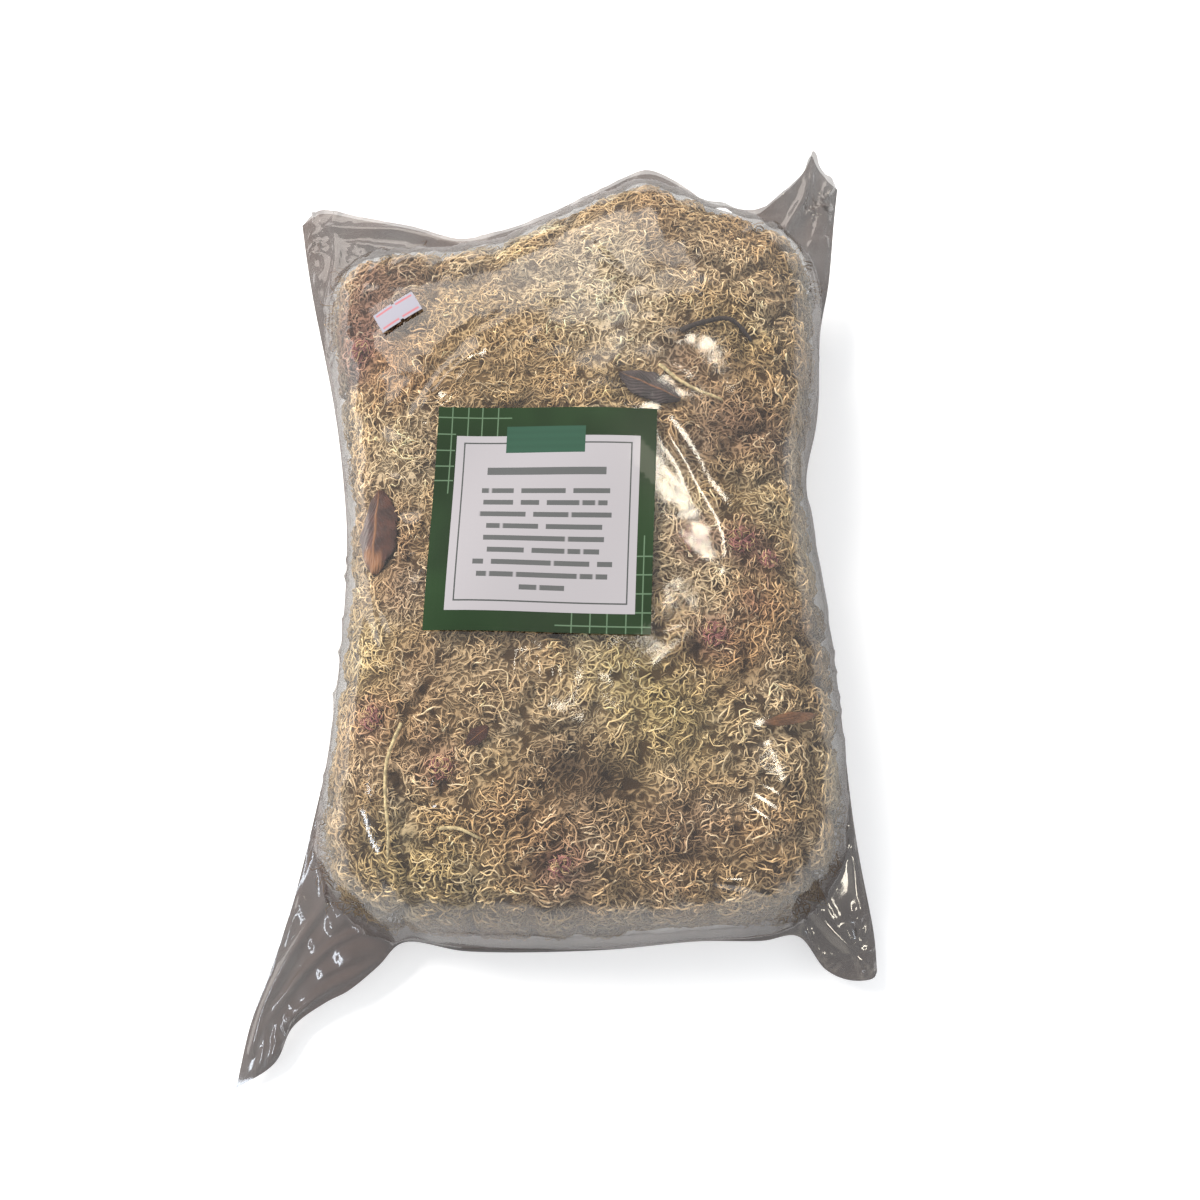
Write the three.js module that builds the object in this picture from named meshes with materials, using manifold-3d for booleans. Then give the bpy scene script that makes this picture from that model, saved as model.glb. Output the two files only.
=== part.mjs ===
// Bag of dried sphagnum moss, lying on its back.
// Millimetres. +Z is up, +Y runs to the mouth of the bag, the origin is under the middle of the outline.

import * as THREE from 'three';
import { mergeVertices } from 'three/addons/utils/BufferGeometryUtils.js';
import Module from 'manifold-3d';

const wasm = await Module();
wasm.setup();

// ---------------------------------------------------------------- driving dimensions

const FILL_HEIGHT = 97;        // inside height of the filled bag at its crown
const FILM = 0.7;              // wall of the film
const SLIT = 1.0;              // how far the two films stand apart along the mouth
const SLACK = 0.8;             // air between the films where no moss reaches
const GAP = 0.3;               // clearance between pieces that rest on each other
const SIDE_MARGIN = 4.5;       // empty film beside the moss, left and right
const END_MARGIN = 5;          // empty film below the moss
const SEAM_RISE = 14;          // how much higher the seam lies between two corners than at them
const CORNER_HEIGHT = { bottomLeft: 5, bottomRight: 13, topLeft: 34, topRight: 37 };
const SIDE_POWER = 5.6;        // squareness of the moss body seen from above
const CROWN_POWER = 0.5;       // how steeply the film rises from its seam
const SOFTNESS = 5;            // the steepest part of the rise is evened out over this distance
const UNDERSIDE = { reach: 1.2, power: 1.5 };   // how soon the lower film comes down to lie flat
const LUMP = 2.2;              // swell of the packed moss under the film
const LUMP_SPACING = { x: 21, y: 27, slantX: 38, slantY: 33 };
const LUMP_PHASE = { x: 0.6, y: -0.4 };
const SLANT_SHARE = 0.6;

const STRAND_RADIUS = 3.0;     // a strand stands for a lock of several real ones
const STRAND_SIDES = 3;
const STRAND_STEPS = 5;
const STRAND_TAPER = [1, 1, 1, 0.95, 0.8, 0.35];   // share of the radius, from root to tip
const ROOT_LENGTH = 13;        // how deep a strand's root reaches towards the heart of its tuft
const ROOT_DROP = 0.4;         // how much the root turns straight down on its way there
const WIGGLE = 4;
const WIGGLE_TURN = 2.1;
const DIVE = 1.6;              // strands weave this far below and above their mean depth
const DIVE_TURN = 2.3;
const STRAND_CLEARANCE = 0.8;
const SWIRL = 1.9;             // how far a strand turns round its tuft on its way out, in radians
const ANGLE_JITTER = 0.3;      // in shares of the step from one strand to the next
const INNER_STRANDS = 2;
const OUTER_STRANDS = 6;
const RIM_STRANDS = 3;         // more of them, above the seam and below it, where a tuft meets the rim
const INNER_RING = { from: 0.06, to: 0.52 };
const OUTER_RING = { from: 0.34, to: 0.98 };
const RIM_RING = { from: 0.62, to: 0.96 };
const RIM_REACH = 62;          // a tuft nearer than this to the bag's rim shows its underside there
const RIM_ARC = { top: 0.7 * Math.PI, bottom: 0.9 * Math.PI, turn: 0.3 };
const CORE_DEPTH = 8;          // how far the core of a tuft lies below the strands
const CORE_SPOKES = 9;
const CORE_RINGS = [           // heights and widths of the core, as shares of its room
  { height: 0, width: 0.82 }, { height: 0.33, width: 0.94 },
  { height: 0.78, width: 0.95 }, { height: 0.97, width: 0.76 },
];
const CORE_WAVE = { share: 0.04, lobes: 5 };
const CORE_ROOM = 4;           // least height of a core
const TUFT_ROWS = [4, 3, 4, 3, 4];
const MIN_FILL = 14;           // no moss where the films are closer than this
const FULL_ROOM = 45;          // mean reach of a tuft that holds its full number of strands
const CELL_GAP = 0.35;         // air between a tuft and the flat wall to its neighbour
const CELL_SPOKES = 48;
const FAR = 200;               // further than any tuft reaches
const REACH_STEPS = 40;
const INSIDE = { u: 0.052, v: 0.045 };   // strands keep this share of the sheet away from its edges
const SEED_MARGIN = 0.075;     // the first and last tufts stand this share of the sheet in from its edges
const SEED_JITTER = { x: 10, y: 16 };
const SEED_DRAW = 41;
const FIRST_DRAW = 1300;
const NEXT_DRAW = 50;
const DRAWS = 20;
const HAIR = 0.004;            // corners closer than this would be one
const DETAIL = { head: 0.02, tuft: 0.04 };   // corners that stand out by less than this are left out
const LEAST_POINTS = 4;        // a strand with fewer points left in the bag isn't made

const LABEL_THICKNESS = 0.6;
const LABEL_LIFT = 0.9;        // glue side of a label above the film
const LEAF_THICKNESS = 0.8;
const LEAF_DEPTH = 0.9;        // top of a leaf below the film
const LEAF_CLEARANCE = 1.3;    // room round a leaf, which its ripples need
const LEAF_STEPS = { length: 7, cross: 2 };
const LEAF_RIPPLE = { share: 0.3, count: 3 };   // waves along a leaf, as a share of its cup
const STEM_DEPTH = 0.85;       // top of a twig or stalk below the film
const STEM_SIDES = 4;
const STEM_STEPS = 3;          // from one point of its route to the next

// A moss head, in shares of its radius where nothing else is said.
const HEAD = {
  depth: 0.72,
  clearance: 0.5,              // mm of air over it
  flatness: 0.8,
  core: 0.55,
  leaves: 6,
  firstLeaf: 0.4,              // where the first leaf stands round the axis, in radians
  leafRadius: 0.2,
  leafLength: 0.72,
  leafMiddle: 0.6,
  leafTilts: [58, 80],         // degrees off the axis of the head
  stalkRadius: 1.1,            // mm
  stalkLength: 30,             // mm
  stalkSides: 5,
};

// Outline of the flat film as [x, y]: the sides from bottom to top, the ends from left to right.
const LEFT_EDGE = [
  [-161.5, -257], [-154.5, -225], [-145.5, -200], [-132.5, -154], [-121.5, -97], [-116.5, -29],
  [-117, 21], [-120, 48], [-129.5, 98], [-144.5, 157], [-154.5, 198], [-158.5, 217],
];
const RIGHT_EDGE = [
  [158.5, -201], [157.5, -184], [152, -150], [146.5, -102], [141.5, -39], [134.5, 16],
  [131.5, 51], [138.5, 82], [141, 99], [144.5, 141], [151.5, 173], [161.5, 238],
];
const TOP_EDGE = [
  [-158.5, 217], [-148, 224], [-121.5, 217], [-88.5, 207], [-60.5, 197], [-34.5, 202], [-12.5, 211],
  [19, 228], [46.5, 241], [63, 235], [81, 221], [110, 216], [121.5, 225], [140, 245], [146.5, 260],
  [151, 250], [161.5, 238],
];
const BOTTOM_EDGE = [
  [-161.5, -257], [-141.5, -244], [-133.5, -227.5], [-117, -215.5], [-106, -210], [-91, -198],
  [-79.5, -187], [-47, -190.5], [17.5, -190], [68, -186], [101, -186], [119, -184], [132.5, -200],
  [144.5, -205], [156.5, -204], [158.5, -201],
];

// The packed body of moss, without the slack corners: sides as [y, x], ends as [x, y].
const BODY_LEFT = [[-190, -133], [-154, -132], [-97, -121.5], [-29, -116.5], [21, -117], [48, -120],
  [98, -129.5], [157, -145], [205, -156]];
const BODY_RIGHT = [[-190, 151], [-150, 151], [-102, 146.5], [-39, 141.5], [16, 134.5], [51, 131.5],
  [82, 138.5], [141, 146], [205, 158]];
const BODY_TOP = [[-150, 196], [-121, 193], [-90, 187], [-60, 184], [-30, 190], [0, 207], [46, 228],
  [80, 213], [110, 207], [150, 214]];
const BODY_BOTTOM = [[-150, -187], [-60, -189], [20, -190], [110, -186], [150, -186]];

// Where the film is measured: close together at the edges, wide apart on the crown.
const COLUMNS = spread([0, 0.03, 0.05, 0.082, 0.13], 8);
const ROWS = spread([0, 0.022, 0.04, 0.07, 0.115], 10);

const INK = {
  film: { color: 0xd8d4cc, roughness: 0.15, metalness: 0, transparent: true, opacity: 0.35 },
  label: { color: 0x2f5135, roughness: 0.35, metalness: 0 },
  price: { color: 0xf0eeee, roughness: 0.5, metalness: 0 },
  straw: { color: 0xc2a878, roughness: 0.9, metalness: 0 },
  cream: { color: 0xd6c6a0, roughness: 0.9, metalness: 0 },
  brown: { color: 0x8f7250, roughness: 0.9, metalness: 0 },
  pink: { color: 0x9c5662, roughness: 0.9, metalness: 0 },
  leaf: { color: 0x4a2a20, roughness: 0.6, metalness: 0 },
  orange: { color: 0x9a6234, roughness: 0.7, metalness: 0 },
  twig: { color: 0x3f332d, roughness: 0.8, metalness: 0 },
  stalk: { color: 0xb39c6c, roughness: 0.8, metalness: 0 },
};

const TUFT_INK = ['brown', 'straw', 'cream', 'straw', 'straw', 'cream', 'brown', 'cream', 'straw',
  'straw', 'brown', 'straw', 'cream', 'straw', 'brown', 'straw', 'cream', 'straw'];

// [x, y, radius]
const HEADS = [[64, 1, 7], [87, 1, 7], [72, -45, 6], [100, -8, 4.5], [-106, 106, 6.5],
  [-86, -82, 6], [-51, -105, 5.5], [2, -148, 5.5]];

const part = new THREE.Group();

// ---------------------------------------------------------------- small helpers

function spread(edge, middleSteps) {
  const last = edge[edge.length - 1];
  const steps = [...edge];
  for (let k = 1; k < middleSteps; k += 1) steps.push(last + (1 - 2 * last) * k / middleSteps);
  return steps.concat(edge.map((value) => 1 - value).reverse());
}

function seeded(seed) {
  let state = seed;
  return () => {
    state = (state + 0x6d2b79f5) | 0;
    let mixed = Math.imul(state ^ (state >>> 15), 1 | state);
    mixed = (mixed + Math.imul(mixed ^ (mixed >>> 7), 61 | mixed)) ^ mixed;
    return ((mixed ^ (mixed >>> 14)) >>> 0) / 4294967296;
  };
}

// Height of a chain of [place, value] pairs at a place, straight between them.
function along(pairs, place) {
  let k = 1;
  while (k < pairs.length - 1 && pairs[k][0] < place) k += 1;
  const [from, to] = [pairs[k - 1], pairs[k]];
  const share = THREE.MathUtils.clamp((place - from[0]) / (to[0] - from[0]), 0, 1);
  return THREE.MathUtils.lerp(from[1], to[1], share);
}

function edgeCurve(points) {
  const places = points.map(([x, y]) => new THREE.Vector3(x, y, 0));
  return new THREE.CatmullRomCurve3(places, false, 'centripetal');
}

function addMesh(name, geometry, ink) {
  const mesh = new THREE.Mesh(geometry, new THREE.MeshStandardMaterial(INK[ink]));
  mesh.name = name;
  part.add(mesh);
}

function indexed(geometry) {
  const bare = geometry.clone();
  bare.deleteAttribute('normal');
  bare.deleteAttribute('uv');
  return mergeVertices(bare, 1e-4);
}

function toSolid(geometry) {
  const bare = indexed(geometry);
  return new wasm.Manifold(new wasm.Mesh({
    numProp: 3,
    vertProperties: new Float32Array(bare.attributes.position.array),
    triVerts: new Uint32Array(bare.index.array),
  }));
}

function toGeometry(solid) {
  const mesh = solid.getMesh();
  const geometry = new THREE.BufferGeometry();
  geometry.setAttribute('position', new THREE.BufferAttribute(new Float32Array(mesh.vertProperties), 3));
  geometry.setIndex(new THREE.BufferAttribute(new Uint32Array(mesh.triVerts), 1));
  geometry.computeVertexNormals();
  return geometry;
}

function largestPiece(solid) {
  const pieces = solid.decompose();
  return pieces.reduce((best, piece) => (piece.volume() > best.volume() ? piece : best));
}

function fuse(solids) {
  return solids.reduce((whole, solid) => whole.add(solid));
}

// A closed solid between two grids of points; upper faces up where i runs along X and j along Y.
function gridSolid(upper, lower) {
  const across = upper.length;
  const rows = upper[0].length;
  const positions = [];
  [upper, lower].flat(2).forEach((p) => positions.push(p.x, p.y, p.z));
  const at = (layer, i, j) => layer * across * rows + i * rows + j;
  const faces = [];
  const quad = (a, b, c, d) => faces.push(a, b, c, a, c, d);
  for (let i = 0; i < across - 1; i += 1) {
    for (let j = 0; j < rows - 1; j += 1) {
      quad(at(0, i, j), at(0, i + 1, j), at(0, i + 1, j + 1), at(0, i, j + 1));
      quad(at(1, i, j), at(1, i, j + 1), at(1, i + 1, j + 1), at(1, i + 1, j));
    }
  }
  for (let i = 0; i < across - 1; i += 1) {
    quad(at(1, i, 0), at(1, i + 1, 0), at(0, i + 1, 0), at(0, i, 0));
    quad(at(0, i, rows - 1), at(0, i + 1, rows - 1), at(1, i + 1, rows - 1), at(1, i, rows - 1));
  }
  for (let j = 0; j < rows - 1; j += 1) {
    quad(at(0, 0, j), at(0, 0, j + 1), at(1, 0, j + 1), at(1, 0, j));
    quad(at(1, across - 1, j), at(1, across - 1, j + 1), at(0, across - 1, j + 1), at(0, across - 1, j));
  }
  const geometry = new THREE.BufferGeometry();
  geometry.setAttribute('position', new THREE.Float32BufferAttribute(positions, 3));
  geometry.setIndex(faces);
  geometry.computeVertexNormals();
  return geometry;
}

// ---------------------------------------------------------------- the sheet of film

const edges = {
  left: edgeCurve(LEFT_EDGE),
  right: edgeCurve(RIGHT_EDGE),
  top: edgeCurve(TOP_EDGE),
  bottom: edgeCurve(BOTTOM_EDGE),
};

// A point of the outline's inside, blended from its four edges.
function sheetPoint(u, v) {
  const left = edges.left.getPointAt(v);
  const right = edges.right.getPointAt(v);
  const bottom = edges.bottom.getPointAt(u);
  const top = edges.top.getPointAt(u);
  const corners = new THREE.Vector3()
    .addScaledVector(edges.bottom.getPointAt(0), (1 - u) * (1 - v))
    .addScaledVector(edges.bottom.getPointAt(1), u * (1 - v))
    .addScaledVector(edges.top.getPointAt(0), (1 - u) * v)
    .addScaledVector(edges.top.getPointAt(1), u * v);
  return new THREE.Vector3()
    .addScaledVector(left, 1 - u)
    .addScaledVector(right, u)
    .addScaledVector(bottom, 1 - v)
    .addScaledVector(top, v)
    .sub(corners);
}

function seamHeight(u, v) {
  const low = THREE.MathUtils.lerp(CORNER_HEIGHT.bottomLeft, CORNER_HEIGHT.bottomRight, u);
  const high = THREE.MathUtils.lerp(CORNER_HEIGHT.topLeft, CORNER_HEIGHT.topRight, u);
  const between = 1 - ((2 * u - 1) * (2 * v - 1)) ** 2;
  return THREE.MathUtils.lerp(low, high, v) + SEAM_RISE * between;
}

// 1 over the crown of the moss, 0 where the body of moss ends.
function fullness(x, y) {
  const left = along(BODY_LEFT, y) + SIDE_MARGIN;
  const right = along(BODY_RIGHT, y) - SIDE_MARGIN;
  const bottom = along(BODY_BOTTOM, x) + END_MARGIN;
  const top = along(BODY_TOP, x);
  const sideways = Math.abs((2 * x - left - right) / (right - left));
  const lengthways = Math.abs((2 * y - bottom - top) / (top - bottom));
  const reach = sideways ** SIDE_POWER + lengthways ** SIDE_POWER;
  return reach < 1 ? (1 - reach) ** CROWN_POWER : 0;
}

// The same, evened out over a few millimetres, which takes the steps out of the pleated corners.
function softFullness(x, y) {
  const shifts = [-SOFTNESS, 0, SOFTNESS];
  const samples = shifts.flatMap((dx) => shifts.map((dy) => fullness(x + dx, y + dy)));
  return samples.reduce((sum, value) => sum + value, 0) / samples.length;
}

function swell(x, y) {
  const bumps = Math.sin(x / LUMP_SPACING.x + LUMP_PHASE.x) * Math.sin(y / LUMP_SPACING.y + LUMP_PHASE.y);
  const slant = Math.sin(x / LUMP_SPACING.slantX - y / LUMP_SPACING.slantY);
  return LUMP * (bumps + SLANT_SHARE * slant);
}

// Inner faces of both films at one place, with the middle of the seam between them.
function filmLevels(u, v) {
  const place = sheetPoint(u, v);
  const full = softFullness(place.x, place.y);
  const seam = seamHeight(u, v);
  const top = seam + (FILL_HEIGHT - seam) * full + swell(place.x, place.y) * full ** 2;
  const raised = Math.max(0, 1 - UNDERSIDE.reach * full) ** UNDERSIDE.power;
  const bottom = FILM + (seam - FILM) * raised;
  return {
    place,
    seam,
    top: Math.max(top, seam + SLACK / 2),
    bottom: Math.min(bottom, seam - SLACK / 2),
  };
}

const lastColumn = COLUMNS.length - 1;
const lastRow = ROWS.length - 1;

function filmGrids() {
  const grids = { top: [], bottom: [], seam: [] };
  COLUMNS.forEach((u, i) => {
    grids.top.push([]);
    grids.bottom.push([]);
    grids.seam.push([]);
    ROWS.forEach((v, j) => {
      const levels = filmLevels(u, v);
      const onSeam = i <= 1 || i >= lastColumn - 1 || j <= 1;
      const mouth = j === lastRow ? SLIT / 2 : 0;
      const top = onSeam ? levels.seam : levels.top;
      const bottom = onSeam ? levels.seam : levels.bottom;
      const lips = mouth > 0 && !onSeam;
      grids.top[i].push(levels.place.clone().setZ(lips ? levels.seam + mouth : top));
      grids.bottom[i].push(levels.place.clone().setZ(lips ? levels.seam - mouth : bottom));
      grids.seam[i].push(levels.place.clone().setZ(levels.seam));
    });
  });
  return grids;
}

function gridNormals(grid, sign) {
  return grid.map((line, i) => line.map((point, j) => {
    const east = grid[Math.min(i + 1, lastColumn)][j];
    const west = grid[Math.max(i - 1, 0)][j];
    const north = line[Math.min(j + 1, lastRow)];
    const south = line[Math.max(j - 1, 0)];
    const normal = new THREE.Vector3().subVectors(east, west).cross(north.clone().sub(south));
    return normal.normalize().multiplyScalar(sign);
  }));
}

const inner = filmGrids();
const outwards = { top: gridNormals(inner.top, 1), bottom: gridNormals(inner.bottom, -1) };

// Outer skin: a wall's thickness off the inner one, straight up and down along the outline.
function outerGrid(side) {
  const upright = side === 'top' ? 1 : -1;
  return inner[side].map((line, i) => line.map((point, j) => {
    const rim = i === 0 || i === lastColumn || j === 0 || j === lastRow;
    const lift = rim ? new THREE.Vector3(0, 0, upright) : outwards[side][i][j];
    const moved = point.clone().addScaledVector(lift, FILM);
    if (!rim && side === 'bottom') moved.z = Math.max(moved.z, 0);
    return moved;
  }));
}

const outer = { top: outerGrid('top'), bottom: outerGrid('bottom') };

function filmGeometry() {
  const grids = {
    outerTop: outer.top,
    outerBottom: outer.bottom,
    innerTop: inner.top,
    innerBottom: inner.bottom,
  };
  const positions = [];
  const faces = [];
  const numbers = new Map();
  const number = (layer, i, j) => {
    const cavityLine = i === 1 || i === lastColumn - 1 || j === 1;
    const shared = layer === 'innerBottom' && cavityLine;
    const key = `${shared ? 'innerTop' : layer} ${i} ${j}`;
    if (!numbers.has(key)) {
      const point = grids[shared ? 'innerTop' : layer][i][j];
      numbers.set(key, positions.length / 3);
      positions.push(point.x, point.y, point.z);
    }
    return numbers.get(key);
  };
  const triangle = (a, b, c) => faces.push(number(...a), number(...b), number(...c));
  const quad = (a, b, c, d) => {
    triangle(a, b, c);
    triangle(a, c, d);
  };
  const cell = (layer, i, j, up) => {
    const ring = [[layer, i, j], [layer, i + 1, j], [layer, i + 1, j + 1], [layer, i, j + 1]];
    if (up) quad(...ring);
    else {
      triangle(ring[0], ring[2], ring[1]);
      triangle(ring[0], ring[3], ring[2]);
    }
  };
  for (let i = 0; i < lastColumn; i += 1) {
    for (let j = 0; j < lastRow; j += 1) {
      cell('outerTop', i, j, true);
      cell('outerBottom', i, j, false);
      if (i >= 1 && i < lastColumn - 1 && j >= 1) {
        cell('innerTop', i, j, false);
        cell('innerBottom', i, j, true);
      }
    }
  }
  for (let i = 0; i < lastColumn; i += 1) {
    quad(['outerBottom', i, 0], ['outerBottom', i + 1, 0], ['outerTop', i + 1, 0], ['outerTop', i, 0]);
  }
  for (let j = 0; j < lastRow; j += 1) {
    quad(['outerTop', 0, j], ['outerTop', 0, j + 1], ['outerBottom', 0, j + 1], ['outerBottom', 0, j]);
    quad(['outerBottom', lastColumn, j], ['outerBottom', lastColumn, j + 1],
      ['outerTop', lastColumn, j + 1], ['outerTop', lastColumn, j]);
  }
  const end = lastRow;
  for (let i = 1; i < lastColumn - 1; i += 1) {
    quad(['outerTop', i, end], ['outerTop', i + 1, end], ['innerTop', i + 1, end], ['innerTop', i, end]);
    quad(['innerBottom', i, end], ['innerBottom', i + 1, end],
      ['outerBottom', i + 1, end], ['outerBottom', i, end]);
  }
  const right = lastColumn;
  quad(['outerTop', 0, end], ['outerTop', 1, end], ['innerTop', 1, end], ['outerBottom', 0, end]);
  triangle(['innerTop', 1, end], ['outerBottom', 1, end], ['outerBottom', 0, end]);
  quad(['outerTop', right - 1, end], ['outerTop', right, end], ['outerBottom', right, end],
    ['innerTop', right - 1, end]);
  triangle(['innerTop', right - 1, end], ['outerBottom', right, end], ['outerBottom', right - 1, end]);
  const geometry = new THREE.BufferGeometry();
  geometry.setAttribute('position', new THREE.Float32BufferAttribute(positions, 3));
  geometry.setIndex(faces);
  geometry.computeVertexNormals();
  return geometry;
}

// ---------------------------------------------------------------- places on the film

// Value of a grid of vectors at (u, v), flat on the same triangles as the film.
function onGrid(grid, u, v) {
  const i = Math.max(0, Math.min(lastColumn - 1, COLUMNS.findLastIndex((value) => value <= u)));
  const j = Math.max(0, Math.min(lastRow - 1, ROWS.findLastIndex((value) => value <= v)));
  const s = (u - COLUMNS[i]) / (COLUMNS[i + 1] - COLUMNS[i]);
  const t = (v - ROWS[j]) / (ROWS[j + 1] - ROWS[j]);
  const [near, far] = [grid[i][j], grid[i + 1][j + 1]];
  const [third, a, b, c] = s > t ? [grid[i + 1][j], 1 - s, s - t, t] : [grid[i][j + 1], 1 - t, t - s, s];
  return new THREE.Vector3().addScaledVector(near, a).addScaledVector(third, b).addScaledVector(far, c);
}

// A point a given depth inside a film, or outside it where the depth is negative.
function underFilm(side, u, v, depth) {
  const normal = onGrid(outwards[side], u, v).normalize();
  return onGrid(inner[side], u, v).addScaledVector(normal, -depth);
}

function filling(u, v) {
  return onGrid(inner.top, u, v).z - onGrid(inner.bottom, u, v).z;
}

// The (u, v) of the film that lies over a place of the plan.
function locate(x, y) {
  let [u, v] = [0.5, 0.5];
  const small = 1e-4;
  const [least, most] = [0.001, 0.998];
  const rounds = 12;
  for (let round = 0; round < rounds; round += 1) {
    const here = sheetPoint(u, v);
    const du = sheetPoint(Math.min(u + small, 1), v).sub(here).divideScalar(small);
    const dv = sheetPoint(u, Math.min(v + small, 1)).sub(here).divideScalar(small);
    const size = du.x * dv.y - du.y * dv.x;
    const [dx, dy] = [x - here.x, y - here.y];
    u = THREE.MathUtils.clamp(u + (dx * dv.y - dy * dv.x) / size, least, most);
    v = THREE.MathUtils.clamp(v + (dy * du.x - dx * du.y) / size, least, most);
  }
  return [u, v];
}

function underPlace(x, y, depth) {
  const [u, v] = locate(x, y);
  return underFilm('top', u, v, depth);
}

// ---------------------------------------------------------------- tubes, leaves, papers, heads

// A tube of few sides along a curve, its ends narrowed to the given shares of its radius.
function tubeGeometry(points, radius, sides, steps, narrowing) {
  const curve = new THREE.CatmullRomCurve3(points, false, 'centripetal');
  const corner = (k) => {
    const angle = 2 * Math.PI * k / sides;
    return new THREE.Vector2(radius * Math.cos(angle), radius * Math.sin(angle));
  };
  const section = new THREE.Shape(Array.from({ length: sides }, (_, k) => corner(k)));
  const geometry = new THREE.ExtrudeGeometry(section, { steps, bevelEnabled: false, extrudePath: curve });
  const stations = curve.getSpacedPoints(steps);
  const position = geometry.attributes.position;
  const point = new THREE.Vector3();
  for (let k = 0; k < position.count; k += 1) {
    point.fromBufferAttribute(position, k);
    const distances = stations.map((station) => station.distanceToSquared(point));
    const nearest = distances.indexOf(Math.min(...distances));
    const share = narrowing[Math.min(nearest, narrowing.length - 1)];
    const atTip = nearest === steps ? narrowing[narrowing.length - 1] : share;
    point.lerpVectors(stations[nearest], point, atTip);
    position.setXYZ(k, point.x, point.y, point.z);
  }
  return geometry;
}

// A twig or stalk along a route in plan; returns the room that the moss leaves for it.
function stem(name, route, radius, ink) {
  const steps = STEM_STEPS * (route.length - 1);
  const plan = edgeCurve(route);
  const points = plan.getSpacedPoints(steps).map(({ x, y }) => underPlace(x, y, radius + STEM_DEPTH));
  const even = [1];
  addMesh(name, indexed(tubeGeometry(points, radius, STEM_SIDES, steps, even)), ink);
  return toSolid(tubeGeometry(points, radius + 2 * GAP, STEM_SIDES, steps, even));
}

// A cupped blade under the film, from its stalk end to its tip, as wide as the width rule says.
function leafGrids(from, to, halfWidth, cup, growth) {
  const start = new THREE.Vector2(...from);
  const end = new THREE.Vector2(...to);
  const acrossAxis = new THREE.Vector2(start.y - end.y, end.x - start.x).normalize();
  const overrun = growth / start.distanceTo(end);
  const upper = [];
  const lower = [];
  for (let j = 0; j <= LEAF_STEPS.cross; j += 1) {
    const side = 2 * j / LEAF_STEPS.cross - 1;
    upper.push([]);
    lower.push([]);
    for (let i = 0; i <= LEAF_STEPS.length; i += 1) {
      const t = i / LEAF_STEPS.length;
      const share = THREE.MathUtils.lerp(-overrun, 1 + overrun, t);
      const offset = side * (halfWidth(t) + growth);
      const place = new THREE.Vector2().lerpVectors(start, end, share).addScaledVector(acrossAxis, offset);
      const ripple = LEAF_RIPPLE.share * Math.abs(Math.sin(LEAF_RIPPLE.count * Math.PI * t));
      const depth = LEAF_DEPTH + cup * (side * side + ripple);
      upper[j].push(underPlace(place.x, place.y, depth - growth));
      lower[j].push(underPlace(place.x, place.y, depth + LEAF_THICKNESS + growth));
    }
  }
  return [lower, upper];
}

// A leaf under the film; returns the room that the moss leaves for it.
function leaf(name, from, to, halfWidth, cup, ink) {
  const [lower, upper] = leafGrids(from, to, halfWidth, cup, 0);
  addMesh(name, gridSolid(flipRows(upper), flipRows(lower)), ink);
  const [lowerPocket, upperPocket] = leafGrids(from, to, halfWidth, cup, LEAF_CLEARANCE);
  return toSolid(gridSolid(flipRows(upperPocket), flipRows(lowerPocket)));
}

function flipRows(grid) {
  return [...grid].reverse();
}

// A flat paper on the outside of the film, between four corners in plan.
function paper(name, corners, steps, ink) {
  const upper = [];
  const lower = [];
  const [a, b, c, d] = corners.map(([x, y]) => new THREE.Vector2(x, y));
  for (let i = 0; i <= steps; i += 1) {
    upper.push([]);
    lower.push([]);
    for (let j = 0; j <= steps; j += 1) {
      const near = new THREE.Vector2().lerpVectors(a, b, i / steps);
      const far = new THREE.Vector2().lerpVectors(d, c, i / steps);
      const place = near.lerp(far, j / steps);
      upper[i].push(underPlace(place.x, place.y, -(FILM + LABEL_LIFT + LABEL_THICKNESS)));
      lower[i].push(underPlace(place.x, place.y, -(FILM + LABEL_LIFT)));
    }
  }
  addMesh(name, gridSolid(upper, lower), ink);
}

// A moss head: a small core with pointed leaves all round it, on a short stalk. With growth, its room.
function headSolid(x, y, radius, growth) {
  const depth = radius * HEAD.depth + HEAD.clearance;
  const centre = underPlace(x, y, depth);
  const foot = underPlace(x, y, depth + HEAD.stalkLength);
  const inwards = foot.sub(centre).normalize();
  const turn = new THREE.Quaternion().setFromUnitVectors(new THREE.Vector3(0, -1, 0), inwards);
  const place = (geometry) => {
    geometry.applyQuaternion(turn).translate(centre.x, centre.y, centre.z);
    return toSolid(geometry);
  };
  const round = (size, detail) => new THREE.IcosahedronGeometry(size, detail).scale(1, HEAD.flatness, 1);
  const stalkRadius = HEAD.stalkRadius + growth;
  const stalk = new THREE.CylinderGeometry(stalkRadius, stalkRadius, HEAD.stalkLength, HEAD.stalkSides);
  stalk.translate(0, -HEAD.stalkLength / 2 - growth, 0);
  if (growth > 0) return fuse([place(round(radius + growth, 1)), place(stalk)]);
  const leaves = Array.from({ length: HEAD.leaves }, (_, k) => {
    const spike = new THREE.ConeGeometry(radius * HEAD.leafRadius, radius * HEAD.leafLength, 3);
    spike.translate(0, radius * HEAD.leafMiddle, 0);
    spike.rotateX(THREE.MathUtils.degToRad(HEAD.leafTilts[k % 2]));
    spike.rotateY(HEAD.firstLeaf + 2 * Math.PI * k / HEAD.leaves);
    return place(spike);
  });
  return fuse([place(round(radius * HEAD.core, 0)), ...leaves, place(stalk)]);
}

// ---------------------------------------------------------------- tufts of moss

// The sheet of film laid out flat, nearly: the plan in which the tufts share it out.
const SPAN = new THREE.Vector2(290, 440);

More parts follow.
